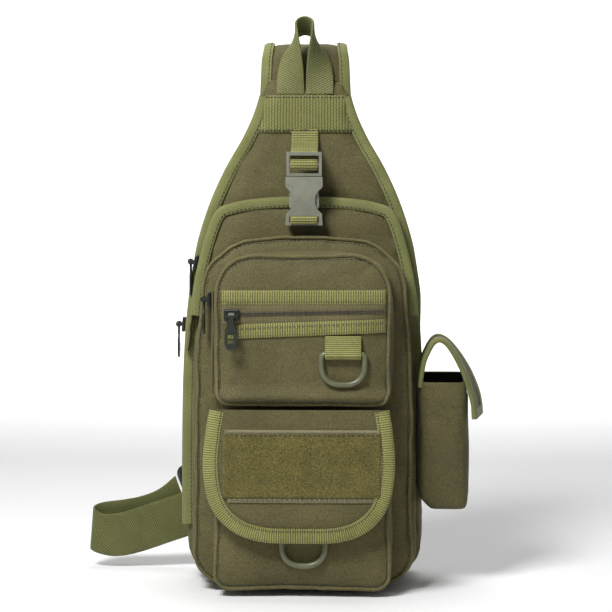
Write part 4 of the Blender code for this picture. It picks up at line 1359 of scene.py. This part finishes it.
def lid_band(name, path, wide, body):
    """Cloth with tape folded over both edges; only the moving part stands for nodes."""
    moving = body == "side_flap"
    rows = lid_rows(path)
    centres, across = [row[0] for row in rows], [row[1] for row in rows]
    band = webbing(f"side_{name}_cloth", centres, across, wide, cloth, 2.0 * MM, 0.3 * MM)
    place(band, body, "fabric", *(["side_flap"] if moving else []))
    section = points_mm((0.9, -1.02), (1.1, 0), (0.9, 1.02), (0, 1.7), (-8, 1.7), (-8, 1.0), (-0.5, 0),
                        (-8, -1.0), (-8, -1.7), (0, -1.7))
    for tag, side in (("front", -1), ("back", 1)):
        frames = [(c + a * side * (wide / 2 + 0.3 * MM), a, out) for c, a, out in rows]
        profile = [(side * a, b) for a, b in section]
        binding = sweep(f"side_{name}_tape_{tag}", frames, profile, tape, sharp=50)
        place(binding, body, "webbing", *([f"side_flap_binding_{tag}"] if moving else []))
    return rows


def lid_end(rows, wide):
    """The hem across the lid's end, the hooks inside it and the loops they meet on the pocket."""
    half, thick = wide / 2, 1.87 * MM
    section = [(-half, -thick), (half, -thick), (half, thick), (-half, thick)]
    place(sweep("side_lid_hem", rows[-5:], section, tape), "side_flap", "webbing")
    inner = rows[-18:-5]
    centres = [c + out * 1.9 * MM * (-1 if out.x > 0 else 1) for c, _, out in inner]
    hooks = webbing("side_lid_hooks", centres, [row[1] for row in inner], 24 * MM, hook_pile, 1.2 * MM)
    place(hooks, "side_flap", "hook_patch", "side_hook_patch")
    low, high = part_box("side_loop_patch")
    middle = (low.y + high.y) / 2
    centres = [Vector((low.x + 0.4 * MM, middle, low.z + (high.z - low.z) * k / 12)) for k in range(13)]
    loops = webbing("side_loop_pile", centres, [FACING] * len(centres), high.y - low.y, loop_pile, 1.6 * MM)
    place(loops, "bag", "loop_patch", "side_loop_patch")


# ---- straps


def strap_edges():
    """Tape over both edges of the padded strap, sewn through with a row of stitches on each face."""
    route, halves = pad_sections()
    sections = [(*section, half) for section, half in zip(pad_frames(route), halves)]
    t = 3.7 * MM
    upper = [(0.2 * MM, t * 0.65), (-2 * MM, t), (-7 * MM, t * 1.05), (-7 * MM, t * 0.8), (-2 * MM, t * 0.7)]
    profile = [(0.6 * MM, 0), *upper, (-1 * MM, 0), *[(a, -b) for a, b in reversed(upper)]]
    for tag, side in (("right", 1), ("left", -1)):
        rings = []
        for centre, across, depth, half in sections:
            edge = centre + across * side * half
            rings.append([edge + across * side * a + depth * b for a, b in profile])
        over_the_neck(grid_of_rings(f"strap_tape_{tag}", rings, tape, sharp=50), "webbing")
        for face, sign in (("out", 1), ("in", -1)):
            line = [c + a * side * (half - 5.2 * MM) + d * sign * (t * 1.1) for c, a, d, half in sections]
            ups = [d * sign for _, _, d, _ in sections]
            points = resample(line, STITCH_PITCH)
            nearest = [ups[min(range(len(line)), key=lambda i: (line[i] - p).length)] for p in points]
            row = stitches(f"strap_tape_{tag}_stitches_{face}", points, nearest, dark_thread)
            over_the_neck(row, "webbing")


def leaning(degrees):
    """The long and the short direction of a flat ring that leans to the left."""
    a = math.radians(degrees)
    return Vector((-math.sin(a), 0, math.cos(a))), Vector((-math.cos(a), 0, -math.sin(a)))


def lower_strap():
    """The webbing sewn to the padded strap: down to the black ring, and round the ring's near bar."""
    path = smooth_path(points_mm((-24, 170), (-25, 152), (-33, 122), (-44, 88), (-57, 68), (-73.4, 57.6)))
    centres = [Vector((p.x, STRAP_Y, p.y)) for p in path]
    across = [Vector((a.y, 0, -a.x)) for a in directions_along(path)]
    long, short = leaning(20)
    low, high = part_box("strap_ring")
    centre = (low + high) / 2
    half_long, half_short, corner, wire = 19 * MM, 5.5 * MM, 4 * MM, 2.2 * MM
    bar = centre - short * half_short
    turn = [bar + (short * math.cos(a) + FACING * math.sin(a)) * 3.2 * MM for a in angles(20, 14, -120)]
    centres = [*centres[:-1], *turn]
    across = [*across[:-1], *[-long] * len(turn)]
    strap = webbing("lower_strap_webbing", centres, across, STRAP_WIDTH, sling_tape)
    place(strap, "strap", "webbing", "shoulder_webbing")
    ring = []
    for start, ends, edge in ((0, 1, 1), (90, -1, 1), (180, -1, -1), (270, 1, -1)):
        middle = centre + long * ends * (half_long - corner) + short * edge * (half_short - corner)
        ring += [middle + (long * math.cos(a) + short * math.sin(a)) * corner for a in angles(15, 7, start)]
    wire_ring = tube("strap_ring_wire", resample(ring, 1.5 * MM, True), wire, black_plastic, True, 14)
    place(wire_ring, "ring", "black_plastic", "strap_ring")


def sling_webbing():
    """The long webbing from the ring to the bag's lower corner, with one turn where it doubles back."""
    stations = [  # centre of the webbing in mm, and how far its width leans from upright in degrees
        ((-76, 33.2, 43.5), 22), ((-90, 33.6, 38.5), 21), ((-106, 34, 33), 20), ((-120, 34.2, 28), 19),
        ((-134, 34.3, 24), 16), ((-145, 34.6, 23), 10), ((-153.5, 36, 25), 2), ((-157.5, 39.3, 27), -4),
        ((-156.5, 43, 28.5), -5), ((-149, 45.4, 30), 0), ((-135, 46.3, 31.5), 5), ((-119, 46.5, 34.5), 11),
        ((-104, 46.3, 40.5), 17), ((-91.5, 46, 50.5), 20),
    ]
    points = smooth_path([Vector((*centre, lean)) for centre, lean in stations], 5)
    centres = [Vector(p[:3]) * MM for p in points]
    across = [leaning(p[3])[0] for p in points]
    loop = webbing("sling_webbing", centres, across, STRAP_WIDTH, sling_tape, 1.6 * MM)
    bent(loop, "webbing", ("bag", "strap"), (0, 36 * MM, 0), (0, 45.5 * MM, 0), "strap_webbing")


# ---- the whole bag


def main():
    camera()
    lights()
    studio()
    shells = bag_shells()
    body_tapes()
    second_tape()
    pipings(shells)
    upper_pocket_trims(shells)
    lower_pocket_trims(shells)
    half = flap_half()
    flap_panel(half)
    flap_edge(half)
    flap_patches()
    neck_band(shells)
    grab_handle()
    buckle_plastics()
    compression_strap()
    socket_tab()
    ring_and_tab("upper_d_ring", "upper_ring_tab", "upper_ring")
    ring_and_tab("lower_d_ring", "lower_ring_tab", "lower_ring")
    for name in ("gusset_zip", "second_zip", "main_zip"):
        side_zip(name)
    sliders_and_pulls()
    side_lid()
    strap_edges()
    lower_strap()
    sling_webbing()


main()
